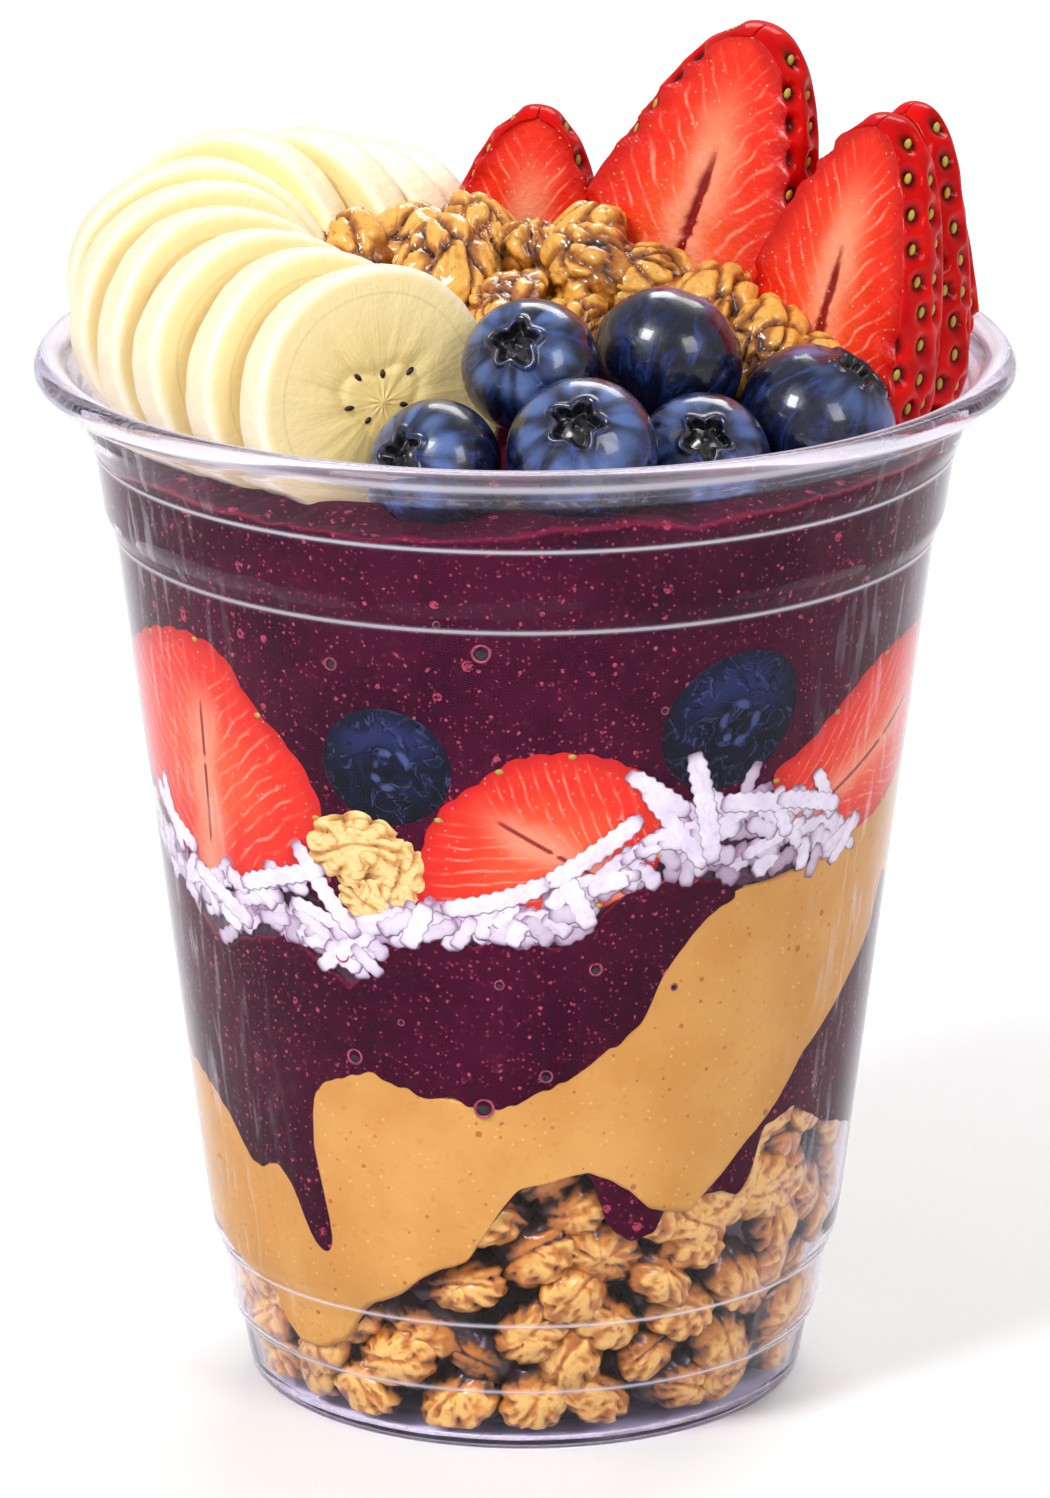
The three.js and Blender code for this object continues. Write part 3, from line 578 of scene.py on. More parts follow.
def clear_plastic():
    """Clear from the front, with painted reflection: pale at the ridges' and lip's lines, at bends,
    in faint streaks and where it turns away.
    """
    look = Look("clear_plastic", "#f1ecfa", Roughness=0.02, IOR=1.2, Transmission_Weight=1.0)
    out = next(n for n in look.tree.nodes if n.type == "OUTPUT_MATERIAL")
    # Pale diffuse sheen mixed in: painted reflection at bends, along the tone's lines, in streaks
    # and where the plastic turns away
    painted_sheen = look.node("ShaderNodeBsdfDiffuse", {"Color": rgb("#f0ecfa")})
    facing = look.node("ShaderNodeLayerWeight", {"Blend": 0.5}).outputs["Facing"]
    turned_away = look.step(facing, 0.66, 1.0, 0.0, 0.34)
    normal = look.split(look.node("ShaderNodeNewGeometry", {}).outputs["Normal"])[2]
    bend = look.step(look.math("ABSOLUTE", normal), 0.36, 0.7, 0.0, 0.05)
    highlight_streak = look.step(look.noise(look.place((800, 800, 45)), 1.0), 0.52, 0.72, 0.0, 0.3)
    highlight_streak = look.times(highlight_streak, look.step(facing, 0.3, 0.8))
    line = look.math("MAXIMUM", look.times(look.tone(), 0.6), highlight_streak)
    share = look.math("MAXIMUM", look.math("MAXIMUM", turned_away, bend), line)
    body = look.node("ShaderNodeMixShader", {
        0: share, 1: look.shader.outputs[0], 2: painted_sheen.outputs[0],
    })
    to_lamp = look.node("ShaderNodeLightPath", {}).outputs["Is Shadow Ray"]
    through = look.node("ShaderNodeBsdfTransparent", {"Color": (0.94, 0.93, 0.96, 1)})
    both = look.node("ShaderNodeMixShader", {
        0: to_lamp, 1: body.outputs[0], 2: through.outputs[0],
    })
    look.put(both.outputs[0], out.inputs["Surface"])
    return look.material


def acai():
    look = Look("acai", "#35021d", Roughness=0.6, Specular_IOR_Level=0.02)
    where = look.place()
    look.lay("#490727", look.noise(where, 0.09, 3.0), 0.35, 0.65)
    look.lay("#651434", look.noise(where, 0.9, 3.0, 0.6), 0.5, 0.75, 0.0, 0.4)
    ragged = look.step(look.noise(where, 3.0, 1.0), 0.35, 0.6)
    # Specks of pulp: how closely they lie, size, share left out and colour
    for scale, size, share, tint in (
        (1.4, 0.3, 0.55, "#7c2442"), (2.0, 0.34, 0.6, "#a23c58"), (1.0, 0.26, 0.6, "#b84c66"),
        (0.36, 0.22, 0.75, "#b8465f"),
    ):
        moved = look.node("ShaderNodeVectorMath", {0: where, 1: (scale * 7.3, 3.1, scale)},
                          operation="ADD").outputs[0]
        near, picks = look.cells(moved, scale)
        dot = look.math("LESS_THAN", near, look.times(picks[0], size))
        look.lay(tint, look.times(dot, look.math("GREATER_THAN", picks[0], share), ragged))
    # Lighter along each layer's top edge, where the tone is high: a painted highlight
    look.lay("#8e1236", look.tone(), 0.0, 1.0, 0.0, 0.5)
    look.bump(look.noise(where, 0.7, 3.0), 0.25, 0.4)
    return look.done()


def peanut():
    look = Look("peanut_butter", "#d79d4f", Roughness=0.5, Specular_IOR_Level=0.1)
    where = look.place()
    look.lay("#e2ad5e", look.noise(where, 0.1, 3.0), 0.3, 0.7)
    look.lay("#b97f3c", look.noise(where, 1.6, 3.0), 0.55, 0.8, 0.0, 0.35)
    for scale, size, tint in ((0.42, 0.16, "#b4562a"), (1.1, 0.192, "#e9c283"),
                              (0.8, 0.16, "#a96a2c")):
        near, picks = look.cells(where, scale)
        dot = look.math("LESS_THAN", near, look.times(picks[1], size))
        look.lay(tint, look.times(dot, 0.7))
    look.bump(look.noise(where, 0.5), 0.2, 0.5)
    return look.done()


def walnut(name, light, body, crease):
    look = Look(name, crease, Roughness=0.38, Specular_IOR_Level=0.3, Coat_Weight=0.9,
                Coat_Roughness=0.1)
    where = look.place()
    # Shade: the tone, which holds painted shade in creases, on backs, deeper in from the wall and
    # on the pile's lower sides, with noise. The light colour on its highest values is painted light
    # on the lobes.
    shade = look.math("ADD", look.tone(), look.sway(0.5, where, 0.8, 4.0))
    look.lay(body, shade, 0.22, 0.72)
    look.lay(light, shade, 0.68, 1.05)
    look.lay(crease, look.noise(where, 2.2, 5.0, 0.7, 0.8), 0.56, 0.7, 0.0, 0.45)
    look.bump(look.noise(where, 1.3, 4.0, 0.6), 0.6, 0.4)
    return look.done()


def coconut():
    look = Look("coconut", "#fdfafd", Roughness=0.55, Specular_IOR_Level=0.15)
    where = look.place()
    look.lay("#efe7f1", look.noise(where, 0.35, 3.0), 0.35, 0.7)
    # Lavender where the tone is high: painted shade on the strips' edges, ends and deeper strips
    look.lay("#94708c", look.tone(), 0.12, 0.95, 0.0, 0.95)
    look.lay("#cdbdd8", look.noise(look.local(), 2.2, 3.0), 0.5, 0.75, 0.0, 0.4)
    look.bump(look.noise(where, 1.3, 3.0), 0.4, 0.4)
    return look.done()


def banana():
    """Local x and y run across the cut face, and z from 0 in its middle to 1 at the edge."""
    look = Look("banana", "#fadf95", Roughness=0.4, Specular_IOR_Level=0.45, Coat_Weight=0.2,
                Coat_Roughness=0.3)
    x, y, share = look.split(look.local())
    look.lay("#fce6a8", share, 0.25, 0.95)
    look.lay("#fff6dc", share, 0.9, 1.0)
    look.lay("#c79d4a", look.off(share, 0.8), 0.0, 0.018, 0.22, 0.0)
    angle = look.math("ARCTAN2", y, x)
    spokes = look.node("ShaderNodeCombineXYZ", {
        "X": look.times(look.math("COSINE", angle), 7.0),
        "Y": look.times(look.math("SINE", angle), 7.0),
        "Z": look.times(share, 1.6),
    }).outputs[0]
    rays = look.noise(spokes, 1.3, 3.0, 0.6, 0.6)
    fade = look.step(share, 0.2, 0.78, 1.0, 0.15)
    look.lay("#e2bc66", look.times(look.step(rays, 0.54, 0.64, 0.0, 0.4), fade))
    look.lay("#f0cf7a", share, 0.3, 0.16, 0.0, 0.4)
    threads = look.noise(look.place((900, 900, 2400)), 1.6, 4.0, 0.7, 1.2)
    side = look.mix(look.step(threads, 0.5, 0.72, 0.0, 0.55), rgb("#fff1cd"), rgb("#ecd08c"))
    look.lay(side, share, 1.0, 1.04)
    look.lay("#c69544", look.tone(), 0.3, 1.0, 0.0, 0.75)
    under = look.bump(rays, 0.25, 0.35)
    look.bump(look.noise(look.place(), 1.4, 4.0, 0.6), 0.25, 0.3, Normal=under)
    return look.done()


def blueberry():
    look = Look("blueberry", "#090e22", Specular_IOR_Level=0.5, Coat_Weight=0.4,
                Coat_Roughness=0.03)
    where, tone = look.place(), look.tone()
    look.lay("#30458e", look.noise(look.local(), 2.6, 6.0, 0.7, 1.2), 0.45, 0.75)
    look.lay("#0c1127", look.noise(where, 0.16), 0.45, 0.7, 0.0, 0.75)
    look.lay("#5d78b4", tone, -0.15, -0.7, 0.0, 0.75)
    look.lay("#06070e", tone, 0.2, 0.9)
    rough = look.step(look.noise(where, 0.5), 0.3, 0.7, 0.16, 0.4)
    look.put(rough, look.shader.inputs["Roughness"])
    look.bump(look.noise(where, 1.1, 4.0), 0.12, 0.25)
    return look.done()


def pressed_blueberry():
    """Berry held against the plastic: x out from the middle to 1 at its edge, y and z round it."""
    look = Look("pressed_blueberry", "#05070f", Roughness=0.4, Specular_IOR_Level=0.1)
    share, _, up = look.split(look.local())
    where = look.place()
    bent = look.math("ADD", share, look.times(look.noise(where, 0.35), 0.22))
    look.lay("#131a3a", look.noise(where, 0.5, 4.0, 0.65, 1.0), 0.4, 0.7)
    arc = look.off(look.math("FRACT", look.times(bent, 4.2)), 0.5)
    look.lay("#070a18", arc, 0.0, 0.12, 0.5, 0.0)
    # Painted light over the upper side of the outer part
    painted_upper_light = look.times(look.step(bent, 0.3, 0.62), look.step(up, -0.2, 0.8), 0.5)
    look.lay("#2f3d74", painted_upper_light)
    # Painted shade towards the edge, to look round
    look.lay("#090a18", share, 0.6, 1.0, 0.0, 0.9)
    # Fold lines: painted shade in each fold, with a painted highlight beside it
    fold = look.sway(1.0, where, 0.3, 3.0, 0.55, 1.6)
    look.lay("#03040b", look.math("ABSOLUTE", fold), 0.0, 0.03, 0.85, 0.0)
    look.lay("#5565a0", look.off(fold, 0.045), 0.0, 0.02, 0.4, 0.0)
    mark = look.tone()
    look.lay("#5a689c", mark, -0.1, -0.5, 0.0, 0.6)
    look.lay("#020206", mark, 0.3, 0.8)
    look.bump(look.noise(where, 0.8, 3.0), 0.3, 0.3)
    return look.done()


def flesh(name, coat):
    """Cut strawberry: x across from -1 to 1, y along from 0 at the tip to 1, z 0 at the edge."""
    look = Look(name, "#cc0a04", Roughness=0.35, Specular_IOR_Level=0.3, Coat_Weight=coat,
                Coat_Roughness=0.12)
    x, y, inward = look.split(look.local())
    where = look.place()
    wobble = look.sway(0.3, where, 0.22, 3.0)
    depth = look.math("ADD", inward, wobble)
    look.lay("#f02a0c", depth, 0.0, 0.28)
    look.lay("#f9592a", depth, 0.3, 0.9)
    side = look.math("ABSOLUTE", x)
    fan = look.math("ADD", look.times(y, 13.0), look.times(look.math("POWER", side, 0.8), 6.5))
    fan = look.math("ADD", fan, look.times(look.noise(where, 0.2, 1.0), 1.3))
    vein = look.times(
        look.step(look.off(look.math("FRACT", fan), 0.5), 0.02, 0.16, 1.0, 0.0),
        look.step(inward, 0.04, 0.4), look.step(side, 0.05, 0.25, 0.2, 1.0),
        look.step(look.noise(where, 0.5), 0.35, 0.65, 0.1, 1.0), 0.62)
    look.lay("#ffa888", vein)
    core = look.step(look.math("ADD", side, wobble), 0.02, 0.3, 0.85, 0.0)
    look.lay("#ffa27c", look.times(core, look.step(y, 0.12, 0.4)))
    # Dark where the tone is high: painted shade in the cut face's slit or middle slot
    look.lay("#8c0d0a", look.tone(), 0.2, 0.9)
    # Small pale dots: painted glints
    look.lay("#ffd9c4", look.cells(where, 1.2)[0], 0.08, 0.16, 0.5, 0.0)
    look.bump(look.noise(where, 1.7, 3.0), 0.45, 0.3)
    return look.done()


def skin():
    look = Look("strawberry_skin", "#b80406", Roughness=0.4, Specular_IOR_Level=0.02,
                Coat_Weight=0.22, Coat_Roughness=0.04)
    where = look.place()
    look.lay("#dc0f0a", look.noise(where, 0.2, 3.0), 0.3, 0.7)
    # Painted shade in the pits round the seeds
    look.lay("#560206", look.tone(), 0.1, 0.8)
    look.bump(look.noise(where, 0.8, 3.0), 0.15, 0.3)
    return look.done()


def mottled(name, first, second, scale=2.0, **settings):
    """Plain look for small or hidden things, in patches of two colours."""
    look = Look(name, first, **settings)
    look.lay(second, look.noise(look.place(), scale), 0.3, 0.7)
    return look.done()


CLEAR = clear_plastic()
ACAI = acai()
PEANUT = peanut()
WALNUT = walnut("walnut", "#f2b450", "#a86016", "#220b03")
WALNUT_BED = walnut("walnut_bed", "#ffcf66", "#d0801b", "#2c1104")
WALNUT_PALE = walnut("walnut_pale", "#ffe090", "#dc9a3c", "#4e240a")
NUT_SHADOW = mottled("nut_shadow", "#5a2c10", "#1c0c05", Roughness=0.7)
COCONUT = coconut()
COCONUT_SHADOW = mottled("coconut_shadow", "#6a2a4c", "#3a1028", Roughness=0.6)
BANANA = banana()
PIP = mottled("banana_pip", "#2a160a", "#050304", Roughness=0.4)
BLUEBERRY = blueberry()
PRESSED_BLUEBERRY = pressed_blueberry()
FLESH = flesh("strawberry_flesh", 0.25)
PRESSED_FLESH = flesh("pressed_flesh", 0.0)
SKIN = skin()
SEED = mottled("seed", "#c8962a", "#a9a83c", 0.6, Roughness=0.35, Specular_IOR_Level=0.6)
BUBBLE_EDGE = mottled("bubble_edge", "#c0506c", "#7c2440", Roughness=0.3)
BUBBLE = mottled("bubble", "#22051a", "#050304", Roughness=0.15)


# ---- Cup ----
def rounded(profile, cut):
    """Profile with each corner replaced by a short curve."""
    points = np.array(profile, float)
    made = [points[0]]
    for a, b, c in zip(points, points[1:], points[2:]):
        ends = []
        for other in (a, c):
            away = np.linalg.norm(other - b)
            ends.append(b + (other - b) / away * min(cut, 0.42 * away))
        for t in np.linspace(0, 1, 4):
            made.append((1 - t) ** 2 * ends[0] + 2 * t * (1 - t) * b + t * t * ends[1])
    return np.array(made + [points[-1]])


near_axis = [(0.01, FLOOR_OUT), (0.01, FLOOR_IN)]
smooth = rounded([near_axis[0], *CUP_OUTSIDE, *CUP_INSIDE, near_axis[1]], CORNER_CUT)[1:-1]
outline = [smooth[0]]
for a, b in zip(smooth, smooth[1:]):
    # More points on the outside where a ridge rises
    marks = sorted(h + d for h in RIDGES for d in RIDGE_STEPS
                   if a[1] < h + d < b[1] and b[0] > a[0] - 0.01)
    outline += [a + (b - a) * (h - a[1]) / (b[1] - a[1]) for h in marks] + [b]
outline = np.array(outline)
outside = np.arange(len(outline)) < np.argmax(outline[:, 1])
outline[:, 0] += RIDGE_RISE * sum(bell(outline[:, 1] - h, 0.3) for h in RIDGES) * outside
# Tone: painted highlight lines along the ridges and round the lip
lines = sum(bell(outline[:, 1] - h, 0.2) for h in RIDGES) * outside
lines = lines + sum(bell(np.linalg.norm(outline - spot, axis=1), 0.42) for spot in LIP_HIGHLIGHTS)
turns = np.arange(CUP_SEGMENTS) * 360 / CUP_SEGMENTS
rings = np.stack([wall_point(r, turns, z) for r, z in outline])
values = np.zeros((*rings.shape[:2], 4))
values[..., 3] = np.minimum(lines, 1)[:, None]
cup = ring_stack(rings, (0, 0, FLOOR_OUT), (0, 0, FLOOR_IN), values)
piece("cup_wall", [cup], [CLEAR], ["cup"])


# ---- Layers ----
def warp(angle, z):
    """Leans the drip of acai at the front left to the right as it falls."""
    return angle + bell(angle + 38.5, 7.0) * 0.42 * np.clip(31.5 - z, 0, 12)


def inner_rows(edge_z, middle, shares, bumps=0.0, seed=0):
    """Rings of a layer's surface, at shares of the way from the axis to the wall."""
    rings = []
    for share in shares:
        z = middle + (edge_z - middle) * ease((share - 0.2) / 0.75)
        ring = wall_point(share * wall_in(edge_z), LAYER_ANGLES, z)
        if bumps:
            finer = 0.4 * noise(ring / 1.9, seed + 1)
            ring[:, 2] += bumps * (noise(ring / 5.0, seed) + finer)
        rings.append(ring)
    return rings


def layer(low, high, middles, reach, thin=0.0, lean=False, bumps=0.0, seed=0, painted_top_highlight=True):
    """Closed layer between two edges at the wall, with its side a little inside the plastic.

    Where it is thinner than thin, its side draws back from the wall.
    """
    height = np.maximum(high - low, 0.05)
    plain = np.zeros(len(low))
    side = [(low + (height - np.minimum(3.2, 0.5 * height)) * share, plain)
            for share in (0.0, 0.012, 0.03, *np.linspace(0.08, 0.92, 11))]
    # Rows up to the top edge, whose tone, where asked for, paints a highlight along the top
    for drop in (2.6, 1.4, 0.8, 0.45, 0.2, 0.0):
        tone = max(0.0, 1 - drop / 0.5) if painted_top_highlight else 0.0
        side.append((high - np.minimum(drop, 0.45 * height * drop / 2.6), plain + tone))
    offset = np.full(len(low), reach)
    if thin:
        offset = np.where(high - low > thin, reach, -0.4)
        wrapped = np.concatenate([offset[-3:], offset, offset[:3]])
        offset = np.convolve(wrapped, np.ones(7) / 7, "valid")
    under = (0.3, 0.6, 0.8, 0.92)
    upper = (0.985, 0.96, 0.92, 0.86, 0.78, 0.68, 0.56, 0.44, 0.3, 0.15)
    rings = inner_rows(low, middles[0], under)
    for k, (z, _) in enumerate(side):
        inset = 0.35 if k in (0, len(side) - 1) else 0.0
        rings.append(on_wall(warp(LAYER_ANGLES, z) if lean else LAYER_ANGLES, z, offset - inset))
    rings = np.stack(rings + inner_rows(high, middles[1], upper, bumps, seed))
    tones = [plain] * len(under) + [tone for _, tone in side] + [plain] * len(upper)
    values = with_tone(rings * 0.03, np.stack(tones))
    return ring_stack(rings, (0, 0, middles[0]), (0, 0, middles[1]), values)


bed_top, peanut_low, peanut_top = edge("bed_top"), edge("peanut_low"), edge("peanut_top")
mid_top, coconut_top = edge("mid_top"), edge("coconut_top")
below_coconut = np.maximum(mid_top, peanut_top)

low_acai = layer(np.minimum(bed_top, peanut_low + 0.4), peanut_low + 0.9, (21.5, 24.0),
                 REACH["low_acai"], 1.15, painted_top_highlight=False)
piece("acai_low", [low_acai], [ACAI], ["low_acai"])
peanut_layer = layer(peanut_low, edge("peanut_behind"), (23.5, 40.2), REACH["peanut"],
                     painted_top_highlight=False)
piece("peanut_layer", [peanut_layer], [PEANUT], ["peanut_butter"])
mid_acai = layer(peanut_top, np.maximum(mid_top, peanut_top - 0.5), (39.8, 56),
                 REACH["mid_acai"], 0.5, True)
piece("acai_middle", [mid_acai], [ACAI], ["mid_acai"])


def bubble(angle, z, size):
    """Small air bubble at the wall: a thin pink ring round a dark lens."""
    cols, ring_rows, thickness = 20, 8, 0.12
    around = np.radians(np.arange(cols) * 18)
    thin = size * 0.16
    ring = np.stack([tube(around, size + thin * math.cos(t), thickness + thin * math.sin(t))
                     for t in np.linspace(0, 2 * np.pi, ring_rows + 1)[:-1]])
    closed = grid_quads(ring_rows + 1, cols) % (ring_rows * cols)
    ring = {"verts": ring.reshape(-1, 3), "quads": closed, "tris": np.zeros((0, 3), int)}
    lens = np.stack([tube(around, size * 0.9 * math.sin(t), thickness * math.cos(t))
                     for t in np.linspace(0.3, 2.8, 6)])
    lens = ring_stack(lens, (0, 0, thickness), (0, 0, -thickness))
    where = on_wall(angle, z, REACH["mid_acai"] - 0.1)
    return [placed(shape, where, wall_axes(angle)) for shape in (ring, lens)]


bubbles = [shape for item in BUBBLES for shape in bubble(*item)]
piece("acai_bubbles", bubbles, [BUBBLE_EDGE, BUBBLE], [], [0, 1] * len(BUBBLES))

upper_acai = layer(np.maximum(coconut_top, below_coconut) - 1.6, edge("acai_top"), (59, 101.8),
                   REACH["upper_acai"], bumps=0.5, seed=31)
piece("acai_upper", [upper_acai], [ACAI], ["upper_acai"])


# ---- Coconut ----
def flake(angle, z, turn, length, width, lift, bend, shade):
    """Crinkled strip lying on the wall, with its length at some degrees from level."""
    stations = max(9, int(length * 4.5))
    along = np.linspace(-0.5, 0.5, stations)
    curve = bend * (along ** 2 - 0.08) * length
    taper = np.clip(1.06 - (2 * np.abs(along)) ** 6 * 0.5, 0.3, 1)
    ripple = 1 + 0.12 * np.sin(along * length * 5.2 + draw.uniform(0, 6))
    half = width / 2 * taper * (ripple + draw.uniform(-0.05, 0.05, stations))
    # Section of the strip: place across it, depth from its front and painted shade, which is
    # darkest at its edges and along its back
    across = np.array([-1.0, -0.8, -0.3, 0.3, 0.8, 1.0, 0.7, 0.0, -0.7])
    depth = np.array([0.05, 0.012, 0.0, 0.0, 0.012, 0.05, 0.3, 0.36, 0.3])
    rim = np.array([0.6, 0.1, 0.0, 0.0, 0.1, 0.6, 1.0, 1.0, 1.0])
    u = along[:, None] * length + 0 * across
    v = curve[:, None] + half[:, None] * across
    a, b = swing(u, v, turn)
    heights = z + b
    radius = wall_in(heights)
    rings = wall_point(radius + lift - depth, angle + np.degrees(a / radius), heights)
    # Tone: painted shade from the section, the ends, and how deep the strip lies
    marks = shade + rim + 0.8 * ((2 * np.abs(along)) ** 8)[:, None]
    values = np.stack([u * 0.5 + angle, v, 0 * u, np.clip(marks, 0, 1)], -1)
    return ring_stack(rings, rings[0].mean(0), rings[-1].mean(0), values)


draw = np.random.default_rng(41)
flakes = []
for a0, z0, a1, z1, width, lift in STRIPS:
    middle_z = (z0 + z1) / 2
    run = math.radians(a1 - a0) * wall_in(middle_z)
    flakes.append(flake(
        (a0 + a1) / 2, middle_z, math.degrees(math.atan2(z1 - z0, run)), math.hypot(run, z1 - z0),
        width * STRIP_WIDTH_SHARE, lift, draw.uniform(-0.2, 0.2), draw.uniform(0, 0.12)))
for angle in np.arange(-180, 180, 0.7):
    low = max(edge("mid_top", angle), edge("peanut_top", angle))
    high = edge("coconut_top", angle)
    if high - low < 0.9:
        continue
    share = draw.uniform(0, 1)
    z = low + 0.5 + (high - low - 1.0) * share
    lift = draw.uniform(0.16, 0.36)
    # Deeper crumbs get more painted shade
    shade = 0.55 - 2.2 * (lift - 0.16) + draw.uniform(-0.1, 0.3)
    if share > 0.4 and draw.uniform() < 0.45:
        flakes.append(flake(angle, z, draw.normal(8, 30), draw.uniform(5, 9),
                            draw.uniform(1.3, 1.8), lift, draw.uniform(-0.4, 0.4), shade * 0.7))
    else:
        flakes.append(flake(angle, z, draw.uniform(-60, 100), draw.uniform(2.6, 4.6),
                            draw.uniform(1.5, 2.2), lift, draw.uniform(-0.3, 0.3), shade))
# Dark core behind the strips, in painted shadow, that shows in the gaps between them
core_low = below_coconut - 0.8
core = layer(core_low, np.maximum(coconut_top - 0.6, core_low + 0.05), (55.5, 59.5), -0.5, 1.2,
             painted_top_highlight=False)
piece("coconut_strips", [core, *flakes], [COCONUT, COCONUT_SHADOW], ["coconut"],
      [1] + [0] * len(flakes))


# ---- Walnuts ----
def kernel(size, seed, cols, rows):
    """Half kernel: an oval dome whose ridges run out from a long cleft. Own z looks outward."""
    draw = np.random.default_rng(seed)
    radii = size * np.array([0.5, draw.uniform(0.34, 0.42), draw.uniform(0.22, 0.28)])
    polar = np.concatenate([np.linspace(0.09, 1.68, rows - 4), np.linspace(1.95, 2.95, 4)])
    points = ball(polar, cols)[2]
    x, y, z = np.moveaxis(points, -1, 0)
    z[:] = np.sign(z) * np.abs(z) ** 0.85
    bent = y + 0.12 * np.sin(x * 2.4 + draw.uniform(0, 6)) + 0.06 * noise(points * 3, seed)
    petals = int(draw.integers(9, 13))
    turn = np.arctan2(bent, 0.8 * x) / (2 * np.pi)
    phase = turn * petals + 0.35 * noise(points * 2.2 + seed, seed + 2) + draw.uniform(0, 1)
    out = np.clip(np.hypot(x, bent), 0, 1)
    crease = (1 - np.abs(np.sin(np.pi * phase)) ** 0.5) * ease((out - 0.2) / 0.7)
    fine = bell(noise(points * 4.2 + seed, seed + 3), 0.1)
    cleft = bell(bent, 0.06) * np.clip(1.1 - np.abs(x) ** 4, 0, 1)
    front = ease((z + 0.45) / 0.5)
    grown = (1.01 - 0.2 * crease - 0.1 * cleft * front - 0.05 * fine * front
             + 0.05 * noise(points * 2.6, seed + 5))
    # Tone: painted shade in the creases, the cleft and the fine folds, and over the back
    tone = np.clip(1.08 - 0.8 * crease - 0.45 * cleft - 0.32 * fine, 0, 1) * (0.35 + 0.65 * front)
    return ring_stack(points * grown[..., None] * radii, (0, 0, radii[2] * 0.82),
                      (0, 0, -radii[2] * 0.95), with_tone(points, tone))


def nut_chunk(size, seed, cols, rows):
    """Piece of a kernel: a lump of rounded folds with narrow creases between them."""
    draw = np.random.default_rng(seed)
    ranges = ((0.98, 1.12), (0.74, 0.9), (0.62, 0.78))
    half = size / 2 * np.array([draw.uniform(*pair) for pair in ranges])
    points = ball(np.linspace(0.08, np.pi - 0.08, rows), cols)[2]
    stretch = np.array([0.85, 1.15, 1.0])
    turned = points + 0.22 * np.stack([noise(points * 2.1, seed + k) for k in range(3)], -1)
    turned = turned * stretch
    knobs = draw.normal(size=(28, 3))
    knobs = knobs / np.linalg.norm(knobs, axis=1, keepdims=True) * stretch
    away = np.sort(np.linalg.norm(turned[..., None, :] - knobs, axis=-1), axis=-1)
    lobe = np.sqrt(np.minimum((away[..., 1] - away[..., 0]) / 0.3, 1))
    fine = bell(noise(turned * 3.6 + seed, seed + 8), 0.13)
    lumps = noise(points * 1.4, seed + 9)
    grown = 0.83 + 0.22 * lobe - 0.06 * fine + 0.13 * lumps
    # Tone: light on the folds and painted shade in the creases between them
    tone = np.clip(0.18 + 1.05 * lobe - 0.25 * fine + 0.12 * lumps, 0, 1)
    return ring_stack(points * grown[..., None] * half, (0, 0, half[2] * 0.9),
                      (0, 0, -half[2] * 0.9), with_tone(points, tone))


def held_in_wall(shape):
    """Shape with what would pass the wall's inner face laid against it, and painted shade further
    in.
    """
    shape = drawn_in(shape, lambda z: wall_in(z) - 0.05)
    v = shape["verts"]
    v[:, 2] = np.maximum(v[:, 2], FLOOR_IN + 0.05)
    gap = wall_in(v[:, 2]) - np.hypot(v[:, 0], v[:, 1])
    return shaded(shape, 1 - 0.93 * ease((gap - 0.4) / 2.8))


draw = np.random.default_rng(5)
bed = []
for row in range(8):
    for i in range(20):
        angle = (i + 0.5 * (row % 2) + draw.uniform(-0.22, 0.22)) * 18.0
        z = 5.2 + row * 4.15 + draw.uniform(-0.8, 0.8)
        size = draw.uniform(8.2, 10.2)
        place = on_wall(angle, z, -2.3 - draw.uniform(0, 1.5))
        axes = wall_axes(angle, draw.normal(10, 45), draw.uniform(-26, 26), draw.uniform(-16, 34))
        seed = int(draw.integers(1, 9999))
        if z - 2.5 <= edge("bed_top", angle):
            fineness = (36, 18) if abs(front_turn(angle)) < 100 else (24, 12)
            bed.append(placed(kernel(size, seed, *fineness), place, axes))
for row in range(5):
    for i in range(15):
        angle = (i + 0.5 * ((row + 1) % 2) + draw.uniform(-0.3, 0.3)) * 24.0
        z = 4.6 + row * 5.2 + draw.uniform(-1, 1)
        axes = wall_axes(angle, draw.uniform(0, 180), draw.uniform(-40, 40), draw.uniform(-40, 40))
        seed = int(draw.integers(1, 9999))
        if z - 1 <= edge("bed_top", angle):
            nut = kernel(draw.uniform(8.5, 10.5), seed, 20, 10)
            bed.append(placed(nut, on_wall(angle, z, -5.6), axes))
for angle, z, size, roll in BED_FRONT:
    nut = kernel(size, int(size * 10 + roll), 36, 18)
    bed.append(placed(nut, on_wall(angle, z, -2.4), wall_axes(angle, roll)))
bed = [held_in_wall(shape) for shape in bed]
# Dark core of the bed, in painted shadow, that shows in the gaps between the kernels
core_angles = np.arange(48) * 7.5
core_edge = edge("bed_top", core_angles)
core = ring_stack(np.stack([
    wall_point(19.0, core_angles, 2.4), wall_point(21.0, core_angles, 3.5),
    wall_point(22.5, core_angles, np.maximum(core_edge * 0.5, 5.0)),
    wall_point(23.5, core_angles, core_edge - 2.0), wall_point(14.0, core_angles, 21.0),
]), (0, 0, 2.4), (0, 0, 21.5), np.zeros((5, 48, 4)))
piece("walnut_kernels", [core, *bed], [WALNUT_BED, NUT_SHADOW], ["walnut_bed"],
      [1] + [0] * len(bed))


def relief(shape, angle, z, roll, base, thick):
    """Shape pressed to a low relief on the wall, its own z out from the cup's axis."""
    v = shape["verts"]
    across, up = swing(v[:, 0], v[:, 1], roll)
    radius = wall_in(z + up)
    out = v[:, 2] / thick
    lift = base + np.where(out > 0, 0.22, 3.0) * out
    verts = wall_point(radius + lift, angle + np.degrees(across / radius), z + up)
    return {**shape, "verts": verts}


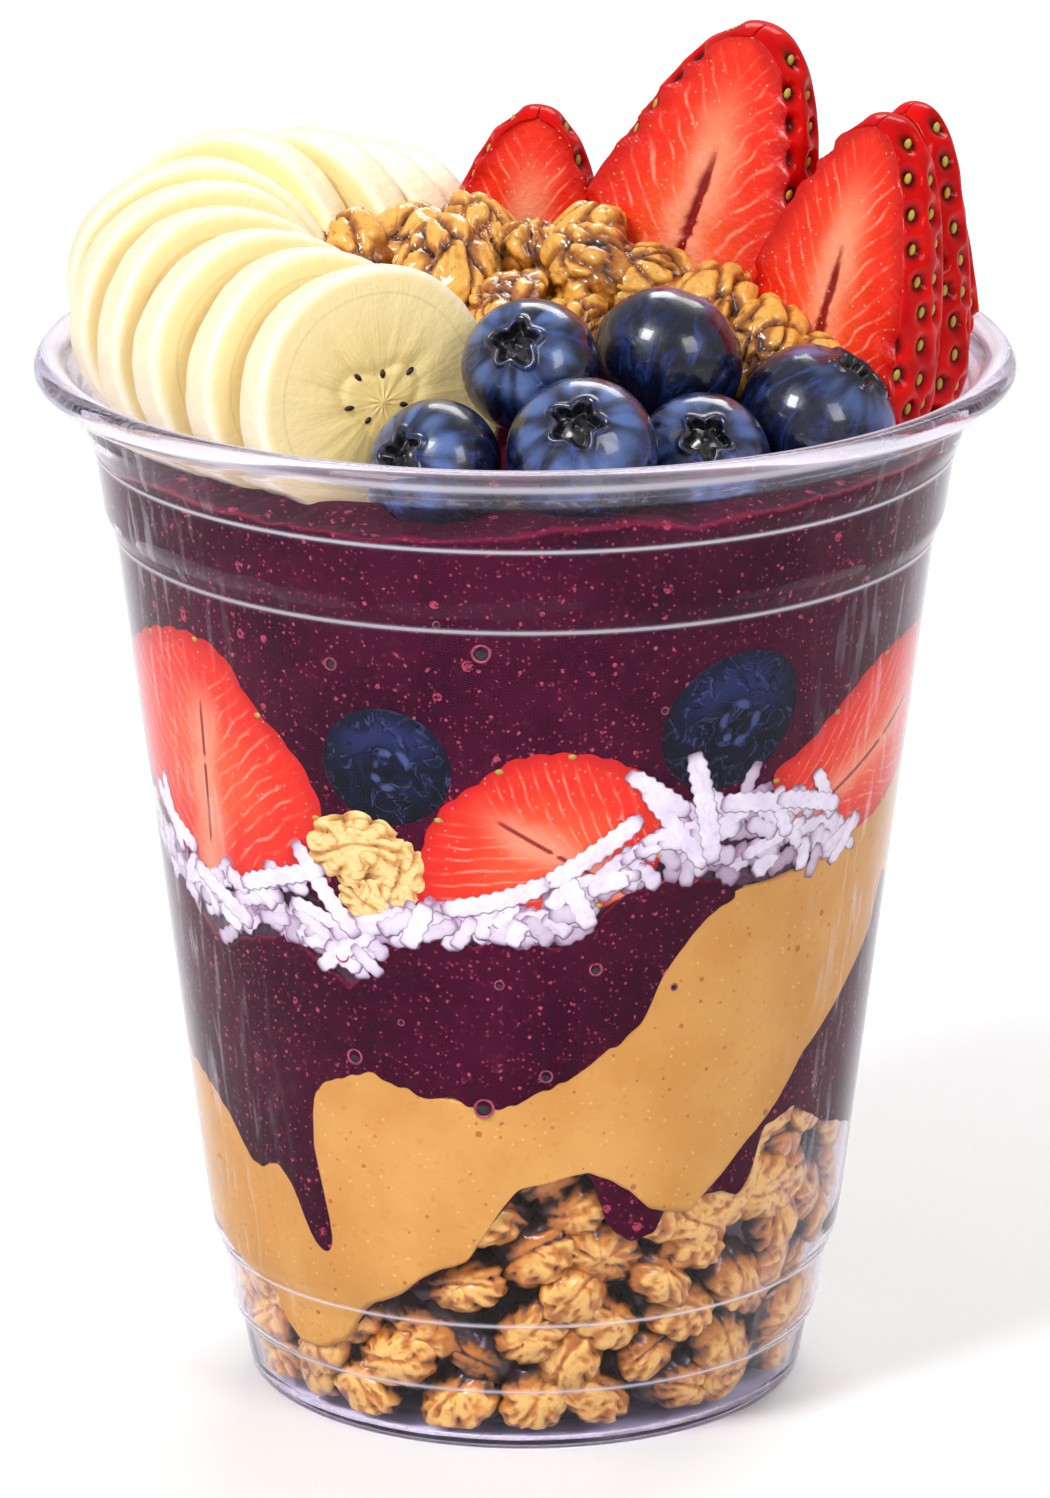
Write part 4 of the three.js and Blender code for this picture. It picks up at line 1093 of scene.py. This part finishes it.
cluster = [relief(kernel(size, seed, 72, 40), angle, z, roll, base, size * 0.28)
           for angle, z, size, roll, base, seed in CLUSTER]
piece("walnut_cluster", cluster, [WALNUT_PALE], ["side_walnuts"])


def pile_nut(x, y, z, size, cols, rows):
    """Piece in the pile, with painted shade on the side that looks down and back."""
    main = unit((draw.normal(0, 0.55), draw.normal(-0.75, 0.35), draw.normal(0.75, 0.35)))
    body = nut_chunk(size, int(draw.integers(1, 9999)), cols, rows)
    nut = placed(body, (x, y, z), axes_for(main, (draw.normal(0, 1), 0.2, 0.4)))
    high = (nut["verts"] - np.array([x, y, z])) @ unit((-0.15, -0.55, 0.8)) / (size / 2)
    return shaded(nut, 0.2 + 0.8 * ease((high + 0.85) / 1.05))


draw = np.random.default_rng(9)
pile = [pile_nut(x, y, z - (2.4 if y > 5 else 0.9), size * 1.12, 72, 44) for x, y, z, size in PILE]
for k in range(PILE_FILL):
    share = draw.uniform(-0.5, 0.5)
    x = 4 + share * PILE_LENGTH * 0.94 + draw.normal(0, 3.2)
    y = 2 - share * PILE_LENGTH * 0.33 + draw.normal(0, 4.2)
    z = 108.9 - 22 * share * share + draw.uniform(-2.5, 1.0)
    pile.append(pile_nut(x, y, z, draw.uniform(8.0, 10.0), 44, 26))
piece("walnut_top", pile, [WALNUT], ["walnut_pile"])


# ---- Blueberries ----
def blueberry_shape(centre, radius, crown, seed):
    """Berry with its crown's star on top of its own z axis."""
    spin = np.random.default_rng(seed).uniform(0, 6)
    polar = np.concatenate([np.linspace(0.03, 0.62, 40), np.linspace(0.66, np.pi - 0.05, 34)])
    polar, around, points = ball(polar, 120)
    star = 0.5 + 0.5 * np.cos(5 * (around + 0.08 * np.sin(around * 2 + spin)) + spin)
    edge_at = 0.26 + 0.13 * star + 0.02 * np.sin(around * 3 + spin)
    lip = 0.055 * bell(polar - edge_at - 0.05, 0.055) * (0.45 + 0.55 * star)
    hollow = -0.2 * ease((edge_at - polar) / 0.07) + 0.05 * bell(polar, 0.07)
    dimple = -0.035 * bell(polar - 0.45, 0.28)
    grown = 1 + lip + hollow + dimple + 0.012 * noise(points * 1.6 + seed, seed)
    rings = points * grown[..., None] * radius * np.array([1, 1, 0.93])
    dark_star = ease((edge_at - polar + 0.02) / 0.06) + 0.35 * bell(polar - edge_at, 0.03)
    ray = 0.5 + 0.5 * noise(tube(around, 5, polar * 0.8), seed + 1)
    tone = np.clip(dark_star, 0, 1) - 0.9 * bell(polar - 0.72, 0.33) * ray
    values = with_tone(tube(around, 1.3, polar * 0.5) + seed, tone)
    shape = ring_stack(rings, (0, 0, radius * 0.93 * 0.85), (0, 0, -radius * 0.93), values)
    return placed(shape, centre, axes_for(crown, (0, 0.3, 1)))


for k, berry in enumerate(BLUEBERRIES):
    shape = drawn_in(blueberry_shape(*berry, 50 + k), mouth)
    piece(f"blueberry_fruit_{k + 1}", [shape], [BLUEBERRY], [f"blueberry_{k + 1}"])


# ---- Banana slices ----
def banana_shape(x, y, z, azimuth, tilt, seed):
    """A slice and its pips. Its rings run from the middle of one face round to the other's."""
    draw = np.random.default_rng(seed)
    around = np.arange(SLICE_COLS) * 2 * np.pi / SLICE_COLS
    spin = draw.uniform(0, 6)
    radius = 1 + 0.012 * np.sin(3 * around + spin) + 0.008 * np.sin(5 * around + spin * 2)
    radius = SLICE_RADIUS * radius
    half = SLICE_THICKNESS / 2
    shares = [0.03, 0.07, 0.11, 0.15, 0.19, 0.22, 0.25, 0.28, 0.31, 0.34, 0.38, 0.42, 0.46, 0.55,
              0.64, 0.73, 0.82, 0.89, 0.94]
    # Share of the radius, height and mark for the material, down to the slice's middle
    rows = [(s, half, s) for s in shares]
    rows += [(0.972, half - 0.12, 0.97), (0.992, half - 0.5, 1.0), (1.0, half - 1.1, 1.05),
             (1.002, 0.7, 1.1)]
    rows += [(1.004, 0.0, 1.1)] + [(share, -height, mark) for share, height, mark in rows[::-1]]
    rings, values = [], []
    core = 0.19 + 0.14 * (0.5 + 0.5 * np.cos(3 * around + spin))
    for share, height, mark in rows:
        r = radius * share
        lift, tone = np.zeros((2, SLICE_COLS))
        if mark < 0.97:
            rays = noise(tube(around, 4, share * 1.5) * 1.6 + seed, seed)
            lift += -0.22 * bell(share - core - 0.03, 0.04)
            lift += 0.22 * bell(share, 0.09) * (0.4 + 0.6 * np.cos(6 * around + spin) ** 2)
            lift += 0.16 * rays * bell(share - 0.42, 0.25) - 0.1 * ease((0.75 - share) / 0.5)
            tone = np.clip(0.62 * bell(share - core - 0.03, 0.03), 0, 1)
        else:
            r = r * (1 + 0.007 * noise(tube(around, 9, height * 1.4) + seed, seed + 1))
        ring = tube(around, r, height + (lift if height > 0 else -lift))
        rings.append(ring)
        values.append(np.stack([*(ring[:, :2] / SLICE_RADIUS).T, mark + 0 * around, tone], -1))
    side, up = math.radians(azimuth), math.radians(tilt)
    normal = (math.cos(up) * math.sin(side), -math.cos(up) * math.cos(side), math.sin(up))
    axes = axes_for(normal, (0, 0, 1))
    body = ring_stack(np.stack(rings), (0, 0, half + 0.15), (0, 0, -half - 0.15), np.stack(values))
    shapes = [placed(body, (x, y, z), axes)]
    for k in range(PIPS):
        turn = 2 * np.pi * (k + draw.uniform(-0.25, 0.25)) / PIPS
        away = 0.17 + 0.14 * (0.5 + 0.5 * math.cos(3 * turn + spin)) + draw.uniform(-0.015, 0.03)
        c, s = math.cos(turn), math.sin(turn)
        for sign in (1, -1):
            spot = (away * SLICE_RADIUS * c, away * SLICE_RADIUS * s, sign * (half - 0.18))
            grain = pebble(draw.uniform(0.42, 0.6), 0.27, 0.24)
            grain = placed(grain, spot, np.array([[c, s, 0], [-s, c, 0], [0, 0, 1]]))
            shapes.append(placed(grain, (x, y, z), axes))
    return shapes


for k, item in enumerate(SLICES):
    shapes = [drawn_in(shape, mouth) for shape in banana_shape(*item, 80 + k)]
    piece(f"banana_{k + 1}", shapes, [BANANA, PIP], [f"banana_slice_{k + 1}"],
          [0] + [1] * 2 * PIPS)


# ---- Strawberries ----
def berry_radius(t):
    """Half width at a share of a strawberry's length from the tip, as a share of its widest."""
    return 1.1 * t ** 0.45 * np.sqrt(1 - np.maximum(0, (t - 0.6) / 0.4) ** 3)


def seed_spots(length, width, depth, draw):
    """Centres of the seeds on the skin, in staggered rows, without those near the face."""
    spots = []
    t, row = 0.05, 0
    while t < 0.93:
        girth = math.pi * (width / 2 + depth) / 2 * 2 * berry_radius(t)
        count = max(3, int(girth / 4.0))
        for k in range(count):
            turn = (k + 0.5 * (row % 2)) * 360 / count + draw.uniform(-4, 4)
            share = t + draw.uniform(-0.008, 0.008)
            if abs(front_turn(turn)) > 40:
                spots.append((turn, share))
        t += 3.1 / length
        row += 1
    turn, share = np.array(spots).T
    a, r = np.radians(turn), berry_radius(share)
    x, y = width / 2 * r * np.sin(a), -depth * r * np.cos(a)
    return np.stack([x, y, length * (0.5 - share)], -1)


def strawberry_shape(tip, axis, face, size, slit, seed):
    """Half strawberry and its seeds. Own z runs to the tip, own y from the face into the skin.

    Each row has the skin's points first and then the cut face's.
    """
    length, width, depth = size
    ahead = FACE_AHEAD * depth
    t = 0.5 - 0.5 * np.cos(np.linspace(0.09, np.pi - 0.09, BERRY_ROWS))[:, None]
    half, deep = width / 2 * berry_radius(t), depth * berry_radius(t)
    cut = np.arccos(np.minimum(0.999, ahead / deep))
    widest, face_y, row_z = half * np.sin(cut), -deep * np.cos(cut), length * (0.5 - t)
    turns = cut + (2 * np.pi - 2 * cut) * np.linspace(0, 1, SKIN_COLS)
    shares = np.linspace(0, 1, FACE_COLS + 2)[1:-1]
    x = np.concatenate([half * np.sin(turns), widest * (2 * shares - 1)], 1)
    y = np.concatenate([-deep * np.cos(turns), face_y + 0 * shares], 1)
    rings = np.stack([x, y, row_z + 0 * x], -1)
    inward = np.concatenate([0 * turns, 1 - np.abs(2 * shares - 1) + 0 * t], 1)
    inward = inward * widest / (width / 2) * 1.3
    inward = np.minimum(inward, 3.2 * np.minimum(t + 0.02, 1.02 - t))
    values = np.stack([x / (width / 2), t + 0 * x, inward, 0 * x], -1)

    # Pits round the seeds, with painted shade in them, and the skin's swelling between them
    spots = seed_spots(length, width, depth, np.random.default_rng(seed))
    spots = spots[spots[:, 1] > -ahead - 0.6]
    skin_part, face_part = rings[:, :SKIN_COLS], rings[:, SKIN_COLS:]
    near = np.linalg.norm(skin_part[:, :, None, :] - spots, axis=-1).min(-1)
    dent = bell(near, 1.05)
    outward = skin_part * np.array([1, 1, 0.2]) - np.array([0, 0.25 * depth, 0])
    outward /= np.linalg.norm(outward, axis=-1, keepdims=True) + 1e-9
    skin_part += outward * (0.34 * ease((near - 0.7) / 1.1) - 0.8 * dent)[..., None]
    values[:, :SKIN_COLS, 3] = np.clip(dent * 1.1, 0, 1)

    # The face meets the skin's moved edges and is even away from them
    left, right = skin_part[:, -1:], skin_part[:, :1]
    face_part[..., 0] = left[..., 0] + (right - left)[..., 0] * shares
    by_left, by_right = np.exp(-shares / 0.07), np.exp(-(1 - shares) / 0.07)
    for k, plain in ((1, face_y), (2, row_z)):
        face_part[..., k] = (plain + (left[..., k] - plain) * by_left
                             + (right[..., k] - plain) * by_right)
    face_part[..., 1] += (noise(face_part / 2.2, seed) * 0.12
                          + noise(face_part / 0.9, seed + 1) * 0.06)
    if slit:
        start, finish, lean, deepness = slit
        inside = np.clip(1 - np.abs(2 * (t - start) / (finish - start) - 1) ** 3, 0, 1)
        gap = (0.55 + 0.3 * noise(np.stack([t * 60, t * 0, t * 0], -1), seed)) * inside
        hole = bell(face_part[..., 0] - lean * (t - 0.5) * length, gap + 0.12) * inside
        face_part[..., 1] += deepness * hole
        # Tone: painted shade in the slit's hollow
        values[:, SKIN_COLS:, 3] = np.clip(hole * 1.2, 0, 1)
    shape = ring_stack(rings, (0, 0, length / 2), (0, 0, -length / 2), values)
    column = np.tile(np.arange(SKIN_COLS + FACE_COLS), BERRY_ROWS - 1)
    shape["quad_looks"] = np.where(column >= SKIN_COLS - 1, 0, 1)
    shape["tri_looks"] = np.ones(len(shape["tris"]), int)

    shapes = [shape]
    for spot in spots[spots[:, 1] >= -ahead + 0.3]:
        normal = unit(spot - np.array([0, 0.2 * depth, spot[2] * 0.8]))
        grain_axes = axes_for((0, 0.001, 1), normal)
        shapes.append(placed(pebble(0.36, 0.26, 0.6), spot - normal * 0.5, grain_axes))
    middle = np.asarray(tip, float) - unit(axis) * length / 2
    axes = axes_for(axis, -np.asarray(face, float))
    return [placed(made, middle, axes) for made in shapes]


for k, item in enumerate(STRAWBERRIES):
    shapes = [drawn_in(shape, mouth) for shape in strawberry_shape(*item, 120 + k)]
    piece(f"strawberry_half_{k + 1}", shapes, [FLESH, SKIN, SEED], [f"strawberry_{k + 1}"],
          [0] + [2] * (len(shapes) - 1))


# ---- Fruit pressed against the wall ----
def smooth_loop(points, count):
    """Closed curve through points, by equal steps of its course."""
    p = np.array(points, float)
    a, b, c, d = (np.roll(p, k, axis=0)[:, None] for k in (1, 0, -1, -2))
    t = np.linspace(0, 1, 12, endpoint=False)[:, None]
    made = 0.5 * (2 * b + (c - a) * t + (2 * a - 5 * b + 4 * c - d) * t * t
                  + (3 * b - a - 3 * c + d) * t ** 3)
    made = np.concatenate([made.reshape(-1, 2), p[:1]])
    run = np.concatenate([[0], np.cumsum(np.linalg.norm(np.diff(made, axis=0), axis=1))])
    at = np.linspace(0, run[-1], count, endpoint=False)
    return np.stack([np.interp(at, run, made[:, k]) for k in (0, 1)], -1)


def wall_plate(loop, centre, depth, reach, values_at, wavy=0.0):
    """Body against the wall with an outline of wall angle and height, and a domed back."""
    centre = np.array(centre, float)
    outline = smooth_loop(loop, PLATE_POINTS) - centre
    outline = outline * (1 + wavy * np.abs(np.sin(np.arange(PLATE_POINTS) * np.pi / 6.0)))[:, None]
    # Share of the way from the centre to the outline, and how far out, front rows first
    rows = [(s, reach) for s in (0.05, 0.14, 0.24, 0.34, 0.44, 0.54, 0.64, 0.74, 0.83, 0.9, 0.95)]
    rows += [(0.98, reach - 0.08), (1.0, reach - 0.3)]
    front = len(rows)
    rows += [(0.97, -1.2), (0.8, -depth * 0.6), (0.5, -depth * 0.9)]
    rings, values = [], []
    for k, (share, out) in enumerate(rows):
        at = centre + outline * share
        rings.append(on_wall(*at.T, out))
        values.append(values_at(at, np.full(PLATE_POINTS, 1 - share if k < front else 0.0)))
    return ring_stack(np.stack(rings), on_wall(*centre, reach), on_wall(*centre, -depth),
                      np.stack(values))


for k, (loop, centre, lean, half_width, length) in enumerate(PRESSED_HALVES):
    def half_values(at, inward, centre=centre, lean=lean, half_width=half_width, length=length):
        """Place on the half's face, and the painted shade of its middle slot, for its material."""
        across, along = swing(*wall_offset(at, centre), lean)
        ends = ease((0.32 * length - np.abs(along + 0.05 * length)) / 1.5)
        return np.stack([across / half_width, 0.5 - along / length, np.minimum(1, inward * 1.15),
                         bell(across, 0.3) * ends * 0.9], -1)

    shapes = [wall_plate(loop, centre, PRESSED_HALF_DEPTH, REACH["plate"], half_values, 0.025)]
    for spot in smooth_loop(loop, 17)[::2]:
        angle, z = np.array(centre) + (spot - np.array(centre)) * 0.955
        shapes.append(placed(pebble(0.42, 0.28, 0.16), on_wall(angle, z, 0.12), wall_axes(angle)))
    piece(f"pressed_strawberry_{k + 1}", shapes, [PRESSED_FLESH, SKIN, SEED],
          [f"side_strawberry_{k + 1}"], [0] + [2] * (len(shapes) - 1))

for k, (centre, half, lean) in enumerate(PRESSED_BERRIES):
    def swirl(at, inward, centre=centre):
        """Share out from the middle, turn round it, and its small off-centre mark."""
        u, v = wall_offset(at, centre)
        spin = np.arctan2(v, u)
        away = np.hypot(u - 0.7, v + 0.3)
        mark = bell(away, 0.5) - 0.7 * bell(away - 1.9, 0.25)
        return np.stack([1 - inward, np.cos(spin), np.sin(spin), mark], -1)

    around = np.linspace(0, 2 * np.pi, 14, endpoint=False)
    across, rise = swing(half[0] * np.cos(around), half[1] * np.sin(around), -lean)
    loop = np.stack([centre[0] + np.degrees(across / wall_in(centre[1])), centre[1] + rise], -1)
    shape = wall_plate(loop, centre, PRESSED_BERRY_DEPTH, REACH["plate"] + 0.03, swirl)
    piece(f"pressed_blueberry_{k + 1}", [shape], [PRESSED_BLUEBERRY], [f"side_blueberry_{k + 1}"])


# ---- Stage ----
def added(name, data):
    made = bpy.data.objects.new(name, data)
    bpy.context.scene.collection.objects.link(made)
    return made


scene = bpy.context.scene
scene.world = bpy.data.worlds.new("studio")
scene.world.use_nodes = True
background = scene.world.node_tree.nodes["Background"].inputs
background["Color"].default_value = WORLD_COLOUR
background["Strength"].default_value = WORLD_STRENGTH

floor_mesh = bpy.data.meshes.new("floor")
corners = [(x * FLOOR_SPAN, y * FLOOR_SPAN, 0) for x, y in ((-1, -1), (1, -1), (1, 1), (-1, 1))]
floor_mesh.from_pydata(corners, [], [(0, 1, 2, 3)])
floor_look = Look("pale_floor", "#ffffff", Roughness=0.7)
floor_look.base = FLOOR_COLOUR
floor_mesh.materials.append(floor_look.done())
floor = added("floor", floor_mesh)

for name, place, target, size, power in LAMPS:
    data = bpy.data.lights.new(name, "AREA")
    data.shape = "RECTANGLE"
    data.size, data.size_y = size
    data.energy = power
    axes = axes_for(np.array(place) - np.array(target), (0, 0, 1))
    added(name, data).matrix_world = Matrix.LocRotScale(place, Matrix(axes.T), None)

camera_data = bpy.data.cameras.new("camera")
camera_data.lens = CAMERA_LENS
camera_data.sensor_width = SENSOR_WIDTH
camera_data.clip_start = CLIP_START
camera = added("camera", camera_data)
camera.location = CAMERA_PLACE
camera.rotation_euler = (math.radians(CAMERA_PITCH), 0, 0)
scene.camera = camera
scene.view_settings.view_transform = "Standard"
